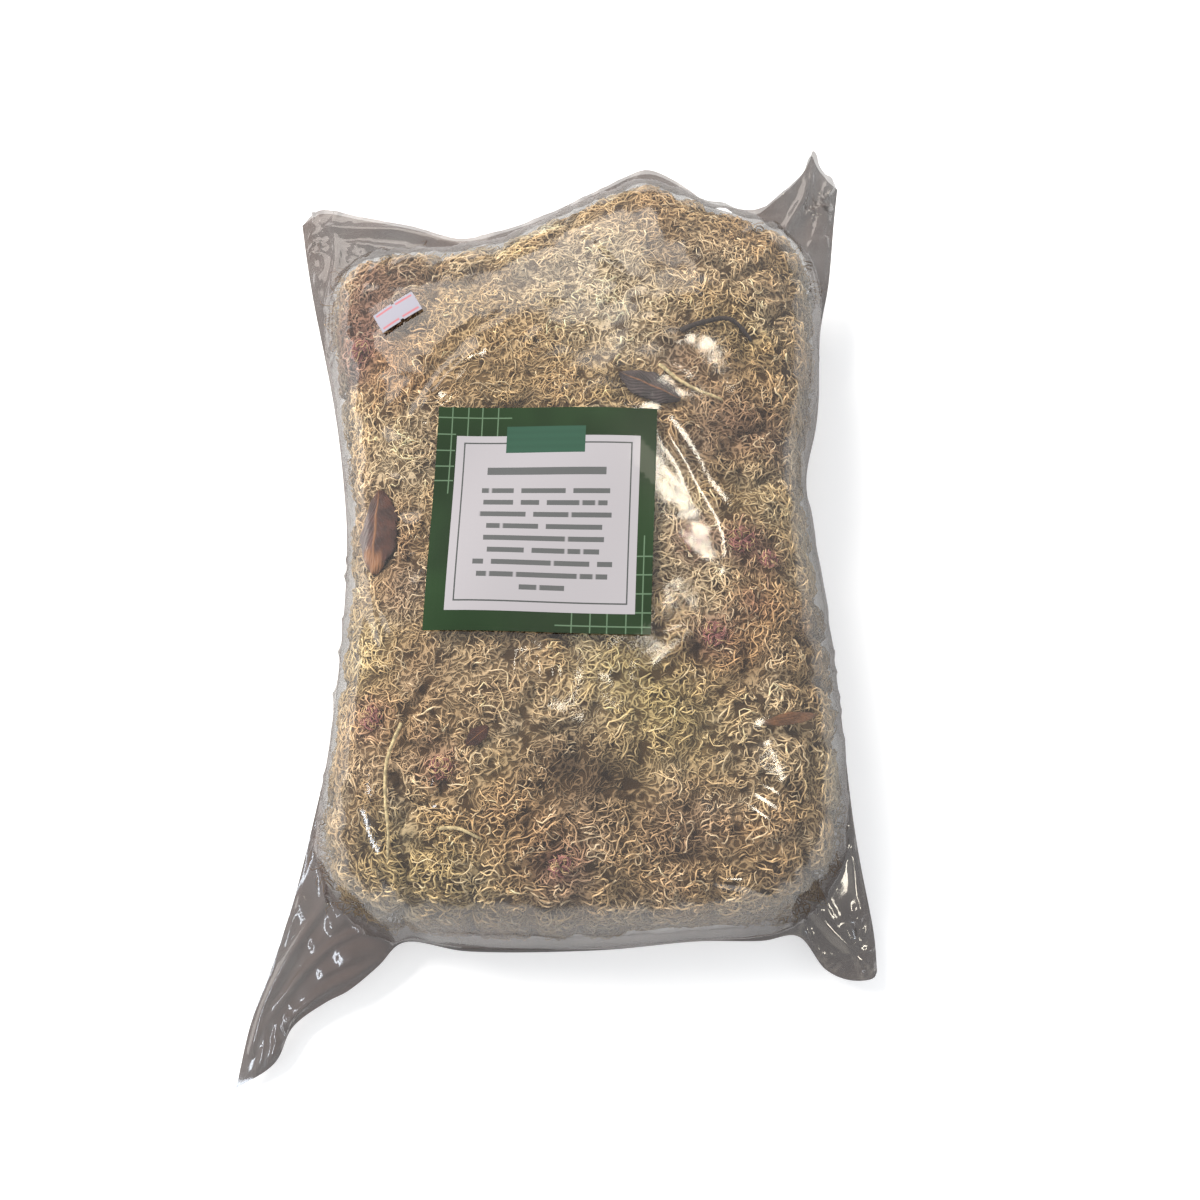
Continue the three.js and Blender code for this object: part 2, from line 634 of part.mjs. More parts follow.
function tuftSeeds() {
  const random = seeded(SEED_DRAW);
  const seeds = [];
  TUFT_ROWS.forEach((count, row) => {
    for (let k = 0; k < count; k += 1) {
      const jitterX = SEED_JITTER.x * (random() - 0.5);
      const jitterY = SEED_JITTER.y * (random() - 0.5);
      const u = SEED_MARGIN + (1 - 2 * SEED_MARGIN) * (k + 0.5) / count;
      const v = SEED_MARGIN + (1 - 2 * SEED_MARGIN) * (row + 0.5) / TUFT_ROWS.length;
      seeds.push(new THREE.Vector2(u * SPAN.x + jitterX, v * SPAN.y + jitterY));
    }
  });
  return seeds;
}

// The half-planes that keep a point nearer to its own seed than to any other.
function cellWalls(seeds, own) {
  return seeds.filter((_, k) => k !== own).map((other) => {
    const normal = other.clone().sub(seeds[own]).normalize();
    const middle = other.clone().add(seeds[own]).multiplyScalar(0.5);
    return { normal, limit: normal.dot(middle) };
  });
}

function keepInCell(point, walls, margin) {
  const rounds = 3;
  for (let round = 0; round < rounds; round += 1) {
    walls.forEach(({ normal, limit }) => {
      const excess = normal.dot(point) - (limit - margin);
      if (excess > 0) point.addScaledVector(normal, -excess);
    });
  }
  return point;
}

function reachOfCell(seed, walls, angle) {
  const heading = new THREE.Vector2(Math.cos(angle), Math.sin(angle));
  const still = 1e-6;
  let reach = FAR;
  walls.forEach(({ normal, limit }) => {
    const speed = normal.dot(heading);
    if (speed > still) reach = Math.min(reach, (limit - normal.dot(seed)) / speed);
  });
  const borders = [[heading.x, seed.x, SPAN.x], [heading.y, seed.y, SPAN.y]];
  borders.forEach(([speed, start, span]) => {
    if (speed > still) reach = Math.min(reach, (span - start) / speed);
    if (speed < -still) reach = Math.min(reach, -start / speed);
  });
  return reach;
}

// How far from the seed the bag is still thick enough for moss.
function reachOfFilling(seed, angle, reach) {
  const heading = new THREE.Vector2(Math.cos(angle), Math.sin(angle));
  let far = 0;
  for (let step = 1; step <= REACH_STEPS; step += 1) {
    const distance = reach * step / REACH_STEPS;
    const point = seed.clone().addScaledVector(heading, distance);
    if (filling(point.x / SPAN.x, point.y / SPAN.y) < MIN_FILL) break;
    far = distance;
  }
  return far;
}

// The mean reach of a cell.
function cellRoom({ seed, walls }) {
  const directions = 12;
  const angles = Array.from({ length: directions }, (_, k) => 2 * Math.PI * k / directions);
  const reaches = angles.map((angle) => reachOfFilling(seed, angle, reachOfCell(seed, walls, angle)));
  return reaches.reduce((sum, reach) => sum + reach, 0) / reaches.length;
}

// The dense heart of a tuft, which its strands grow from.
function coreGeometry(seed, walls) {
  const angles = Array.from({ length: CORE_SPOKES }, (_, k) => 2 * Math.PI * k / CORE_SPOKES);
  const rim = angles.map((angle) => reachOfFilling(seed, angle, reachOfCell(seed, walls, angle)));
  const positions = [];
  CORE_RINGS.forEach(({ height, width }, ring) => {
    angles.forEach((angle, k) => {
      const wave = 1 + CORE_WAVE.share * Math.sin(CORE_WAVE.lobes * angle + 2 * ring);
      const distance = rim[k] * width * wave;
      const u = (seed.x + distance * Math.cos(angle)) / SPAN.x;
      const v = (seed.y + distance * Math.sin(angle)) / SPAN.y;
      const low = onGrid(inner.bottom, u, v);
      const high = onGrid(inner.top, u, v);
      const room = Math.max(high.z - low.z - GAP - CORE_DEPTH, CORE_ROOM);
      positions.push(low.x, low.y, low.z + GAP + room * height);
    });
  });
  const middle = (grid) => onGrid(grid, seed.x / SPAN.x, seed.y / SPAN.y);
  const base = middle(inner.bottom);
  positions.push(base.x, base.y, base.z + GAP);
  const crown = middle(inner.top);
  positions.push(crown.x, crown.y, crown.z - CORE_DEPTH);
  const faces = [];
  const bottomPoint = CORE_RINGS.length * CORE_SPOKES;
  const lastRing = bottomPoint - CORE_SPOKES;
  for (let k = 0; k < CORE_SPOKES; k += 1) {
    const next = (k + 1) % CORE_SPOKES;
    faces.push(bottomPoint, next, k);
    for (let ring = 0; ring < lastRing; ring += CORE_SPOKES) {
      const [a, b] = [ring + k, ring + next];
      faces.push(a, b, b + CORE_SPOKES, a, b + CORE_SPOKES, a + CORE_SPOKES);
    }
    faces.push(lastRing + k, lastRing + next, bottomPoint + 1);
  }
  const geometry = new THREE.BufferGeometry();
  geometry.setAttribute('position', new THREE.Float32BufferAttribute(positions, 3));
  geometry.setIndex(faces);
  return geometry;
}

// One curled strand of a whorl: its root in the core, then outwards under the film in a winding line.
function strandSolid(cell, side, angle, ring, random) {
  const { seed, walls } = cell;
  const phase = 2 * Math.PI * random();
  const points = [];
  for (let k = 0; k <= STRAND_STEPS; k += 1) {
    const share = THREE.MathUtils.lerp(ring.from, ring.to, k / STRAND_STEPS);
    const turned = angle + cell.swirl * (share - ring.from);
    const reach = reachOfFilling(seed, turned, reachOfCell(seed, walls, turned));
    const sway = WIGGLE * Math.sin(phase + WIGGLE_TURN * k) * Math.min(k, 1);
    const heading = new THREE.Vector2(Math.cos(turned), Math.sin(turned));
    const sideways = new THREE.Vector2(-heading.y, heading.x);
    const place = seed.clone().addScaledVector(heading, reach * share).addScaledVector(sideways, sway);
    keepInCell(place, walls, STRAND_RADIUS + CELL_GAP);
    const u = THREE.MathUtils.clamp(place.x / SPAN.x, INSIDE.u, 1 - INSIDE.u);
    const v = THREE.MathUtils.clamp(place.y / SPAN.y, INSIDE.v, 1 - INSIDE.v);
    const dive = DIVE * (1 + Math.sin(2 * phase + DIVE_TURN * k));
    const depth = STRAND_RADIUS + STRAND_CLEARANCE + dive;
    if (filling(u, v) > MIN_FILL) points.push(underFilm(side, u, v, depth));
  }
  if (points.length < LEAST_POINTS) return null;
  const heart = onGrid(inner.top, seed.x / SPAN.x, seed.y / SPAN.y)
    .lerp(onGrid(inner.bottom, seed.x / SPAN.x, seed.y / SPAN.y), 0.5);
  const inwards = heart.sub(points[0]).normalize();
  const down = new THREE.Vector3(0, 0, side === 'top' ? -1 : 1);
  points.unshift(points[0].clone().addScaledVector(inwards.lerp(down, ROOT_DROP), ROOT_LENGTH));
  return toSolid(tubeGeometry(points, STRAND_RADIUS, STRAND_SIDES, STRAND_STEPS, STRAND_TAPER));
}

// The whole upright space of a cell, so that no strand leans into the next tuft.
function cellBlock(seed, walls) {
  const outline = Array.from({ length: CELL_SPOKES }, (_, k) => {
    const angle = 2 * Math.PI * k / CELL_SPOKES;
    const reach = reachOfCell(seed, walls, angle) - CELL_GAP;
    const u = (seed.x + reach * Math.cos(angle)) / SPAN.x;
    const v = (seed.y + reach * Math.sin(angle)) / SPAN.y;
    const point = onGrid(inner.seam, THREE.MathUtils.clamp(u, 0, 1), THREE.MathUtils.clamp(v, 0, 1));
    return new THREE.Vector2(point.x, point.y);
  });
  const upright = { depth: 2 * FILL_HEIGHT, bevelEnabled: false };
  const block = new THREE.ExtrudeGeometry(new THREE.Shape(outline), upright);
  return toSolid(block.translate(0, 0, -FILL_HEIGHT / 2));
}

// The room between the films, a gap smaller all round, so that no strand touches them.
function cavitySolid() {
  const room = { top: [], bottom: [] };
  for (let i = 1; i < lastColumn; i += 1) {
    const [upper, lower] = [[], []];
    for (let j = 1; j <= lastRow; j += 1) {
      const high = inner.top[i][j].clone().addScaledVector(outwards.top[i][j], -2 * GAP);
      const low = inner.bottom[i][j].clone().addScaledVector(outwards.bottom[i][j], -GAP / 2);
      const middle = inner.seam[i][j];
      const open = high.z - low.z > 4 * GAP && j < lastRow;
      upper.push(open ? high : middle.clone().setZ(middle.z + GAP / 4));
      lower.push(open ? low : middle.clone().setZ(middle.z - GAP / 4));
    }
    room.top.push(upper);
    room.bottom.push(lower);
  }
  return toSolid(gridSolid(room.top, room.bottom));
}

// Whether a mesh stays closed when corners closer than a hair's breadth are taken as one.
function staysClosed(geometry) {
  const { array } = geometry.attributes.position;
  const index = geometry.index.array;
  const key = (k) => [0, 1, 2].map((axis) => Math.round(array[3 * index[k] + axis] / HAIR)).join(' ');
  const edges = new Set();
  for (let k = 0; k < index.length; k += 3) {
    const corners = [key(k), key(k + 1), key(k + 2)];
    if (new Set(corners).size < 3) return false;
    corners.forEach((corner, side) => edges.add(`${corner} > ${corners[(side + 1) % 3]}`));
  }
  return edges.size === index.length;
}

// Draws a tuft again until its fused strands leave no sliver.
function tuftGeometry(seeds, own, cavity, pockets) {
  let geometry = null;
  for (let draw = 0; draw < DRAWS; draw += 1) {
    geometry = toGeometry(tuftSolid(seeds, own, cavity, pockets, FIRST_DRAW + own + NEXT_DRAW * draw));
    if (staysClosed(geometry)) break;
  }
  return geometry;
}

// One tuft: a core and its strands, cut to its cell, to the room in the bag and round what lies in it.
function tuftSolid(seeds, own, cavity, pockets, draw) {
  const random = seeded(draw);
  const seed = seeds[own];
  const cell = { seed, walls: cellWalls(seeds, own), swirl: (own % 2 ? -1 : 1) * SWIRL };
  const outwardAngle = Math.atan2(seed.y - SPAN.y / 2, seed.x - SPAN.x / 2);
  const strands = [];
  const room = cellRoom(cell) / FULL_ROOM;
  const whorl = (side, most, ring, middle, width) => {
    const count = Math.max(1, Math.round(most * Math.min(room * room, 1)));
    for (let k = 0; k < count; k += 1) {
      const jitter = ANGLE_JITTER * (random() - 0.5);
      const angle = middle + width * ((k + jitter) / count - 0.5);
      strands.push(strandSolid(cell, side, angle, ring, random));
    }
  };
  whorl('top', INNER_STRANDS, INNER_RING, own, 2 * Math.PI);
  whorl('top', OUTER_STRANDS, OUTER_RING, 2 * own, 2 * Math.PI);
  const atRim = reachOfFilling(seed, outwardAngle, FAR) < RIM_REACH;
  if (atRim) {
    whorl('top', RIM_STRANDS - 1, RIM_RING, outwardAngle + RIM_ARC.turn, RIM_ARC.top);
    whorl('bottom', RIM_STRANDS, RIM_RING, outwardAngle, RIM_ARC.bottom);
  }
  let tuft = toSolid(coreGeometry(seed, cell.walls));
  strands.filter((strand) => strand).forEach((strand) => {
    tuft = tuft.add(strand);
  });
  tuft = tuft.intersect(cellBlock(seed, cell.walls)).intersect(cavity);
  pockets.forEach((pocket) => {
    tuft = tuft.subtract(pocket);
  });
  return largestPiece(tuft.simplify(DETAIL.tuft));
}

// ---------------------------------------------------------------- assembly

addMesh('bag', filmGeometry(), 'film');
paper('label', [[-60.5, -44], [42.5, -46], [47, 65], [-58.5, 67]], 5, 'label');
paper('price_sticker', [[-88.5, 109], [-69, 120.5], [-75.5, 132], [-95, 120.5]], 2, 'price');

const pockets = [];
HEADS.forEach(([x, y, radius], k) => {
  addMesh(`head_${k + 1}`, toGeometry(headSolid(x, y, radius, 0).simplify(DETAIL.head)), 'pink');
  pockets.push(headSolid(x, y, radius, 2 * GAP));
});

const almond = (width) => (t) => 0.5 + width * Math.sin(Math.PI * t) ** 0.8;
pockets.push(leaf('brown_leaf', [-91, -13], [-89, 28], almond(9.5), 1.8, 'leaf'));
pockets.push(leaf('dark_leaf', [29, 87], [59, 73], almond(7.5), 1.5, 'twig'));
pockets.push(leaf('orange_leaf', [93, -85], [121, -80], almond(2.8), 0.8, 'orange'));
pockets.push(leaf('small_leaf', [-40, -95], [-30, -87], almond(3.6), 0.8, 'leaf'));
pockets.push(stem('dark_twig', [[60, 111], [72, 115], [85, 117], [96, 107]], 1.3, 'twig'));
pockets.push(stem('pale_stem', [[49, 92], [57, 84], [68, 77.5], [80, 73.5]], 0.9, 'stalk'));
const longRoute = [[-70, -85], [-75.5, -102], [-75.5, -118], [-74, -133], [-75, -147]];
pockets.push(stem('long_stalk', longRoute, 0.8, 'stalk'));
pockets.push(stem('short_stalk', [[-52, -131], [-43, -131], [-33, -135.5]], 0.8, 'stalk'));

const seeds = tuftSeeds();
const cavity = cavitySolid();
seeds.forEach((_, k) => {
  const name = `tuft_${String(k + 1).padStart(2, '0')}`;
  addMesh(name, tuftGeometry(seeds, k, cavity, pockets), TUFT_INK[k]);
});

export default part;
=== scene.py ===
import functools
import math

import bpy
import numpy as np
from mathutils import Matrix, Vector


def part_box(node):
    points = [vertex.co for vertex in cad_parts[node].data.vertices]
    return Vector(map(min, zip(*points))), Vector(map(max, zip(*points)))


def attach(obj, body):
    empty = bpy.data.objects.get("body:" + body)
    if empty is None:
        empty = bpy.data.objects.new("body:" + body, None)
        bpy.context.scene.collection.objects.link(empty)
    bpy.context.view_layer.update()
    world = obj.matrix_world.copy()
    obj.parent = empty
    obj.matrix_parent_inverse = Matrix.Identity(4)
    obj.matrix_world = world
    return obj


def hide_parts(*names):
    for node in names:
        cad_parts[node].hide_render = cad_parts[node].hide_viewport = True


bl_info = {
    "name": "Bag of dried moss",
    "version": (1, 0, 0),
    "blender": (4, 5, 0),
    "location": "View3D > Sidebar > Moss bag",
    "description": "A clear film bag packed with curled dried moss, built round its CAD frame",
    "category": "Object",
}

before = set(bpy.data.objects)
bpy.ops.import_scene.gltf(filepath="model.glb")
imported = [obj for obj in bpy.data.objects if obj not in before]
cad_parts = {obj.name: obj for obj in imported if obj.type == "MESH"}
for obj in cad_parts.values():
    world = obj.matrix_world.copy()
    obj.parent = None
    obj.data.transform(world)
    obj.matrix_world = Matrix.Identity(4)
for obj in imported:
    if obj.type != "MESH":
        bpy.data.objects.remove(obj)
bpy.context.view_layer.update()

# Shapes are worked out in millimetres and made in metres.
METRE = 0.001


def linear(red, green, blue):
    """A colour as a lamp mixes it, from its 0 to 255 screen values."""
    shares = (value / 255 for value in (red, green, blue))
    return tuple(s / 12.92 if s <= 0.04045 else ((s + 0.055) / 1.055) ** 2.4 for s in shares)


def smooth(low, high, value):
    """0 below low, 1 above high and a soft step between them."""
    share = np.clip((value - low) / (high - low), 0, 1)
    return share * share * (3 - 2 * share)


def between(low, high, share):
    return low * (1 - share) + high * share


def read_net(at, i, j, s, t):
    """What lies between four neighbours of a net, at shares s and t past the first."""
    near, far = (between(at(i, k), at(i + 1, k), s) for k in (j, j + 1))
    return between(near, far, t)


class Rumple:
    """Soft noise from -1 to 1 over a plan, from a random value at each knot of a square net."""

    KNOTS = 97

    def __init__(self, seed, spacing):
        self.values = np.random.default_rng(seed).uniform(-1, 1, (self.KNOTS, self.KNOTS))
        self.spacing = spacing

    def __call__(self, x, y):
        x = np.asarray(x) / self.spacing + self.KNOTS // 2
        y = np.asarray(y) / self.spacing + self.KNOTS // 2
        i, j = np.floor(x).astype(int), np.floor(y).astype(int)
        s, t = smooth(0, 1, x - i), smooth(0, 1, y - j)
        at = lambda a, b: self.values[a % self.KNOTS, b % self.KNOTS]
        return read_net(at, i, j, s, t)


# ---- the form of the bag

FILL_HEIGHT = 97
FLOOR_FILM = 0.7
SLACK = 0.8
MOUTH_SLACK = 1.6
SIDE_MARGIN = 4.5
END_MARGIN = 5
SEAM_RISE = 14
# Of the seam at the corners: bottom left and right, top left and right.
CORNER_HEIGHTS = ((5, 13), (34, 37))
SIDE_POWER = 5.6
CROWN_POWER = 0.5
SOFTNESS = 5
LUMP = 2.2
# A slow wave of the slack rim, both films together, where little room is left between them. It
# starts between two places along the bag.
FLUTTER = {"height": 2.2, "spacing": 42.0, "room": 14, "start": (-250, -215)}
# Share of the film's width or length over which its rims close down to the seam.
WELD_SHARE = 0.014
# Shares over which the slack grows in from the sides and the bottom, and where the mouth starts.
SLACK_SHARES = (0.05, 0.035)
MOUTH_SHARE = 0.97
# How soon the lower film leaves the floor towards the seam, and how steeply it then rises.
LIFT_OFF = 1.2
LIFT_POWER = 1.5

LEFT_EDGE = [
    (-161.5, -257), (-154.5, -225), (-145.5, -200), (-132.5, -154), (-121.5, -97), (-116.5, -29),
    (-117, 21), (-120, 48), (-129.5, 98), (-144.5, 157), (-154.5, 198), (-158.5, 217),
]
RIGHT_EDGE = [
    (158.5, -201), (157.5, -184), (152, -150), (146.5, -102), (141.5, -39), (134.5, 16),
    (131.5, 51), (138.5, 82), (141, 99), (144.5, 141), (151.5, 173), (161.5, 238),
]
TOP_EDGE = [
    (-158.5, 217), (-148, 224), (-121.5, 217), (-88.5, 207), (-60.5, 197), (-34.5, 202),
    (-12.5, 211), (19, 228), (46.5, 241), (63, 235), (81, 221), (110, 216), (121.5, 225),
    (140, 245), (146.5, 260), (151, 250), (161.5, 238),
]
BOTTOM_EDGE = [
    (-161.5, -257), (-141.5, -244), (-133.5, -227.5), (-117, -215.5), (-106, -210), (-91, -198),
    (-79.5, -187), (-47, -190.5), (17.5, -190), (68, -186), (101, -186), (119, -184),
    (132.5, -200), (144.5, -205), (156.5, -204), (158.5, -201),
]
# The packed moss without the slack corners: sides as (y, x), ends as (x, y).
BODY_LEFT = [(-190, -133), (-154, -132), (-97, -121.5), (-29, -116.5), (21, -117), (48, -120),
             (98, -129.5), (157, -145), (205, -156)]
BODY_RIGHT = [(-190, 151), (-150, 151), (-102, 146.5), (-39, 141.5), (16, 134.5), (51, 131.5),
              (82, 138.5), (141, 146), (205, 158)]
BODY_TOP = [(-150, 196), (-121, 193), (-90, 187), (-60, 184), (-30, 190), (0, 207), (46, 228),
            (80, 213), (110, 207), (150, 214)]
BODY_BOTTOM = [(-150, -187), (-60, -189), (20, -190), (110, -186), (150, -186)]


def curve_through(points, steps=16):
    """A centripetal curve through points: places along it, and how far along each one lies."""
    p = np.array(points, float)
    p = np.vstack([2 * p[0] - p[1], p, 2 * p[-1] - p[-2]])
    t = np.linspace(0, 1, steps, endpoint=False)[:, None]
    stretches = []
    for a, b, c, d in zip(p, p[1:], p[2:], p[3:]):
        ab, bc, cd = (math.dist(*pair) ** 0.5 for pair in ((a, b), (b, c), (c, d)))
        start = bc * ((b - a) / ab - (c - a) / (ab + bc) + (c - b) / bc)
        end = bc * ((c - b) / bc - (d - b) / (bc + cd) + (d - c) / cd)
        square = -3 * b + 3 * c - 2 * start - end
        cube = 2 * b - 2 * c + start + end
        stretches.append(b + start * t + square * t**2 + cube * t**3)
    places = np.vstack(stretches + [p[-2:-1]])
    run = np.r_[0, np.cumsum(np.linalg.norm(np.diff(places, axis=0), axis=1))]
    return places, run / run[-1]


EDGES = {
    "left": curve_through(LEFT_EDGE),
    "right": curve_through(RIGHT_EDGE),
    "top": curve_through(TOP_EDGE),
    "bottom": curve_through(BOTTOM_EDGE),
}


def on_curve(curve, share):
    """Places at shares of a curve's run."""
    places, run = curve
    return np.stack([np.interp(share, run, places[:, axis]) for axis in range(places.shape[1])], -1)


def plan_place(u, v):
    """Place in plan of the film at shares u across the bag and v from its bottom to its mouth."""
    a, b = u[..., None], v[..., None]
    sides = between(on_curve(EDGES["left"], v), on_curve(EDGES["right"], v), a)
    ends = between(on_curve(EDGES["bottom"], u), on_curve(EDGES["top"], u), b)
    low, high = (between(*on_curve(EDGES[name], (0, 1)), a) for name in ("bottom", "top"))
    return sides + ends - between(low, high, b)


def seam_height(u, v):
    """Height of the seam that the corners carry, at any shares of the film."""
    low, high = (between(*heights, u) for heights in CORNER_HEIGHTS)
    inward = 1 - ((2 * u - 1) * (2 * v - 1)) ** 2
    return between(low, high, v) + SEAM_RISE * inward


def chain(pairs, place):
    """Straight lines through pairs, read at places along them."""
    return np.interp(place, *np.array(pairs, float).T)


def body_ends(x, y):
    """Where the body of moss ends at places of the plan: left, right, bottom and top."""
    return (chain(BODY_LEFT, y) + SIDE_MARGIN, chain(BODY_RIGHT, y) - SIDE_MARGIN,
            chain(BODY_BOTTOM, x) + END_MARGIN, chain(BODY_TOP, x))


def fullness(x, y):
    """1 over the crown of the moss and 0 where the body of moss ends."""
    left, right, bottom, top = body_ends(x, y)
    sideways = np.abs((2 * x - left - right) / (right - left))
    lengthways = np.abs((2 * y - bottom - top) / (top - bottom))
    reach = sideways**SIDE_POWER + lengthways**SIDE_POWER
    return np.clip(1 - reach, 0, 1) ** CROWN_POWER


def soft_fullness(x, y):
    """The fullness, averaged over a few places close by."""
    shifts = (-SOFTNESS, 0, SOFTNESS)
    return sum(fullness(x + dx, y + dy) for dx in shifts for dy in shifts) / len(shifts) ** 2


def swell(x, y):
    """Height of the broad lumps of the filling."""
    bumps = np.sin(x / 21 + 0.6) * np.sin(y / 27 - 0.4)
    return LUMP * (bumps + 0.6 * np.sin(x / 38 - y / 33))


def spread(count, close, rim):
    """Shares from 0 to 1, closer together by a factor within rim of both ends."""
    samples = 4001
    fine = np.linspace(0, 1, samples)
    inward = smooth(rim * 0.7, rim * 1.5, np.minimum(fine, 1 - fine))
    density = 1 + (close - 1) * (1 - inward)
    run = np.r_[0, np.cumsum((density[1:] + density[:-1]) / 2)]
    return np.interp(np.linspace(0, 1, count), run / run[-1], fine)


COLUMNS = spread(161, 1.8, 0.13)
ROWS = spread(241, 1.6, 0.09)


def off_rim(u, v, side, end):
    """0 along the sides and the bottom of the film, and 1 from some share of its size inward."""
    return smooth(0, side, u) * smooth(0, side, 1 - u) * smooth(0, end, v)


def film_levels():
    """Places in plan with the heights of the upper and the lower film, in millimetres."""
    u, v = np.meshgrid(COLUMNS, ROWS, indexing="ij")
    plan = plan_place(u, v)
    x, y = plan[..., 0], plan[..., 1]
    full = soft_fullness(x, y) * smooth(0, WELD_SHARE, np.minimum(np.minimum(u, 1 - u), v))
    seam = seam_height(u, v)
    upper = seam + (FILL_HEIGHT - seam) * full + swell(x, y) * full**2
    lower = FLOOR_FILM + (seam - FLOOR_FILM) * np.clip(1 - LIFT_OFF * full, 0, 1) ** LIFT_POWER
    gap = between(SLACK, MOUTH_SLACK, smooth(MOUTH_SHARE, 1, v))
    slack = off_rim(u, v, *SLACK_SHARES) * gap / 2
    upper, lower = np.maximum(upper, seam + slack), np.minimum(lower, seam - slack)
    wave = FLUTTER["height"] * Rumple(23, FLUTTER["spacing"])(x, y)
    wave *= (1 - smooth(0, FLUTTER["room"], upper - lower)) * smooth(*FLUTTER["start"], y)
    return plan, upper + wave, lower + wave


class Film:
    """One film of the bag as a net of points with outward normals, read at any place by shares."""

    def __init__(self, points, side):
        self.points = points
        self.across = np.gradient(points, COLUMNS, axis=0)
        self.lengthways = np.gradient(points, ROWS, axis=1)
        normals = side * np.cross(self.across, self.lengthways)
        self.normals = normals / np.linalg.norm(normals, axis=-1, keepdims=True)

    def at(self, field, u, v):
        """A field over the net, read between its points."""
        i = np.interp(u, COLUMNS, np.arange(len(COLUMNS)))
        j = np.interp(v, ROWS, np.arange(len(ROWS)))
        near_i = np.clip(i.astype(int), 0, len(COLUMNS) - 2)
        near_j = np.clip(j.astype(int), 0, len(ROWS) - 2)
        s, t = i - near_i, j - near_j
        if field.ndim > 2:
            s, t = s[..., None], t[..., None]
        return read_net(lambda a, b: field[a, b], near_i, near_j, s, t)

    def under(self, u, v, depth):
        """Places a depth inside the film, or outside it where the depth is negative."""
        normals = self.at(self.normals, u, v)
        return self.at(self.points, u, v) - normals * np.asarray(depth)[..., None]


@functools.cache
def films():
    """The upper and the lower film, and the height of the room between them."""
    plan, upper, lower = film_levels()
    film = {
        "upper": Film(np.concatenate([plan, upper[..., None]], -1), 1),
        "lower": Film(np.concatenate([plan, lower[..., None]], -1), -1),
    }
    return film, upper - lower


def locate(x, y):
    """The shares u and v of the film over places of the plan, by Newton's method."""
    u, v = np.full(np.shape(x), 0.5), np.full(np.shape(x), 0.5)
    small, rounds, limits = 1e-4, 12, (0.001, 0.998)
    for _ in range(rounds):
        here = plan_place(u, v)
        du = (plan_place(u + small, v) - here) / small
        dv = (plan_place(u, v + small) - here) / small
        size = du[..., 0] * dv[..., 1] - du[..., 1] * dv[..., 0]
        dx, dy = x - here[..., 0], y - here[..., 1]
        u = np.clip(u + (dx * dv[..., 1] - dy * dv[..., 0]) / size, *limits)
        v = np.clip(v + (dy * du[..., 0] - dx * du[..., 1]) / size, *limits)
    return u, v


def under_plan(x, y, depth):
    """Places a depth under the upper film, from places in plan."""
    film, _ = films()
    return film["upper"].under(*locate(np.asarray(x, float), np.asarray(y, float)), depth)


# ---- folds and creases of the film

# Ridges that stand up from the film: a route in plan, their height and their half width.
CREASES = (
    ([(46, 70), (56, 62), (63, 52), (69, 41), (73, 31), (80, 22), (86, 15)], 1.05, 4.0),
    ([(41, 66), (50, 57), (56, 47), (61, 38), (65, 28), (71, 17), (76, 8), (78, -9)], 1.0, 3.8),
    ([(-41, -79), (-29, -76), (-20, -71), (-19, -61), (-19, -52)], 0.9, 3.4),
    ([(-15, -49), (-9, -54), (-7, -63), (-8, -76)], 0.9, 3.2),
    ([(1, -51), (2, -60), (2, -71)], 0.7, 3.0),
    ([(-68, 62), (-61, 73), (-54, 83), (-42, 96)], 3.6, 3.6),
    ([(-87, -28), (-82, -40), (-77, -52)], 2.2, 3.0),
    ([(-53, -98), (-51, -114), (-52, -131)], 2.0, 2.2),
    ([(62, -109), (74, -114), (85, -121), (94, -127), (104, -134)], 1.6, 2.8),
    ([(80, -106), (94, -113), (108, -121)], 1.4, 2.6),
    ([(94, -134), (93, -141), (91, -148)], 1.4, 2.4),
    ([(63, -147), (73, -153), (84, -154), (94, -159), (103, -165)], 2.0, 2.0),
    ([(104, -151), (116, -160)], 1.8, 2.0),
    ([(12, 163), (22, 150), (33, 139)], 2.4, 2.6),
    ([(92, 165), (108, 180), (124, 200), (138, 226), (146, 252)], 3.2, 3.0),
    ([(-116, -160), (-120, -170), (-128, -181), (-136, -194), (-146, -214), (-155, -238)],
     3.6, 2.8),
    ([(-88, -180), (-102, -181), (-115, -188), (-128, -200), (-141, -217), (-153, -238)], 2.4, 2.4),
    ([(-92, -197), (-106, -203), (-122, -212), (-138, -226)], 2.0, 2.6),
    ([(-150, 209), (-139, 211), (-98, 205), (-68, 195)], 2.6, 3.4),
    ([(-138, 216), (-133, 190), (-135, 158)], 2.6, 3.0),
    ([(122, -166), (136, -181), (150, -195)], 2.6, 3.0),
    ([(119, 70), (124, 58), (127, 48)], 1.8, 2.2),
    ([(-66, -181), (-30, -185), (20, -186), (69, -182), (112, -179)], 2.4, 2.6),
)
# How far beside a crease the other folds are flattened, in half widths, how far its ends are cut
# off, as a share of its run, and the power that rounds them.
CREASE_CLEARING = 2.2
CREASE_END = 0.06
CREASE_POWER = 0.6
# Puckers run inward from where the moss ends, highest at a gap from there. The noise that makes
# them is stretched by their length and read further off for each side.
PUCKER = {"height": 1.7, "spacing": 10.0, "gap": 4, "reach": 26.0, "slant": 0.35, "length": 8,
          "apart": 70.0}
FAN = {"height": 2.8, "spacing": 0.13, "near": 26.0, "reach": 34.0, "length": 400}
FAN_CENTRES = [(-142, -216), (148, -192), (-146, 205), (146, 222)]
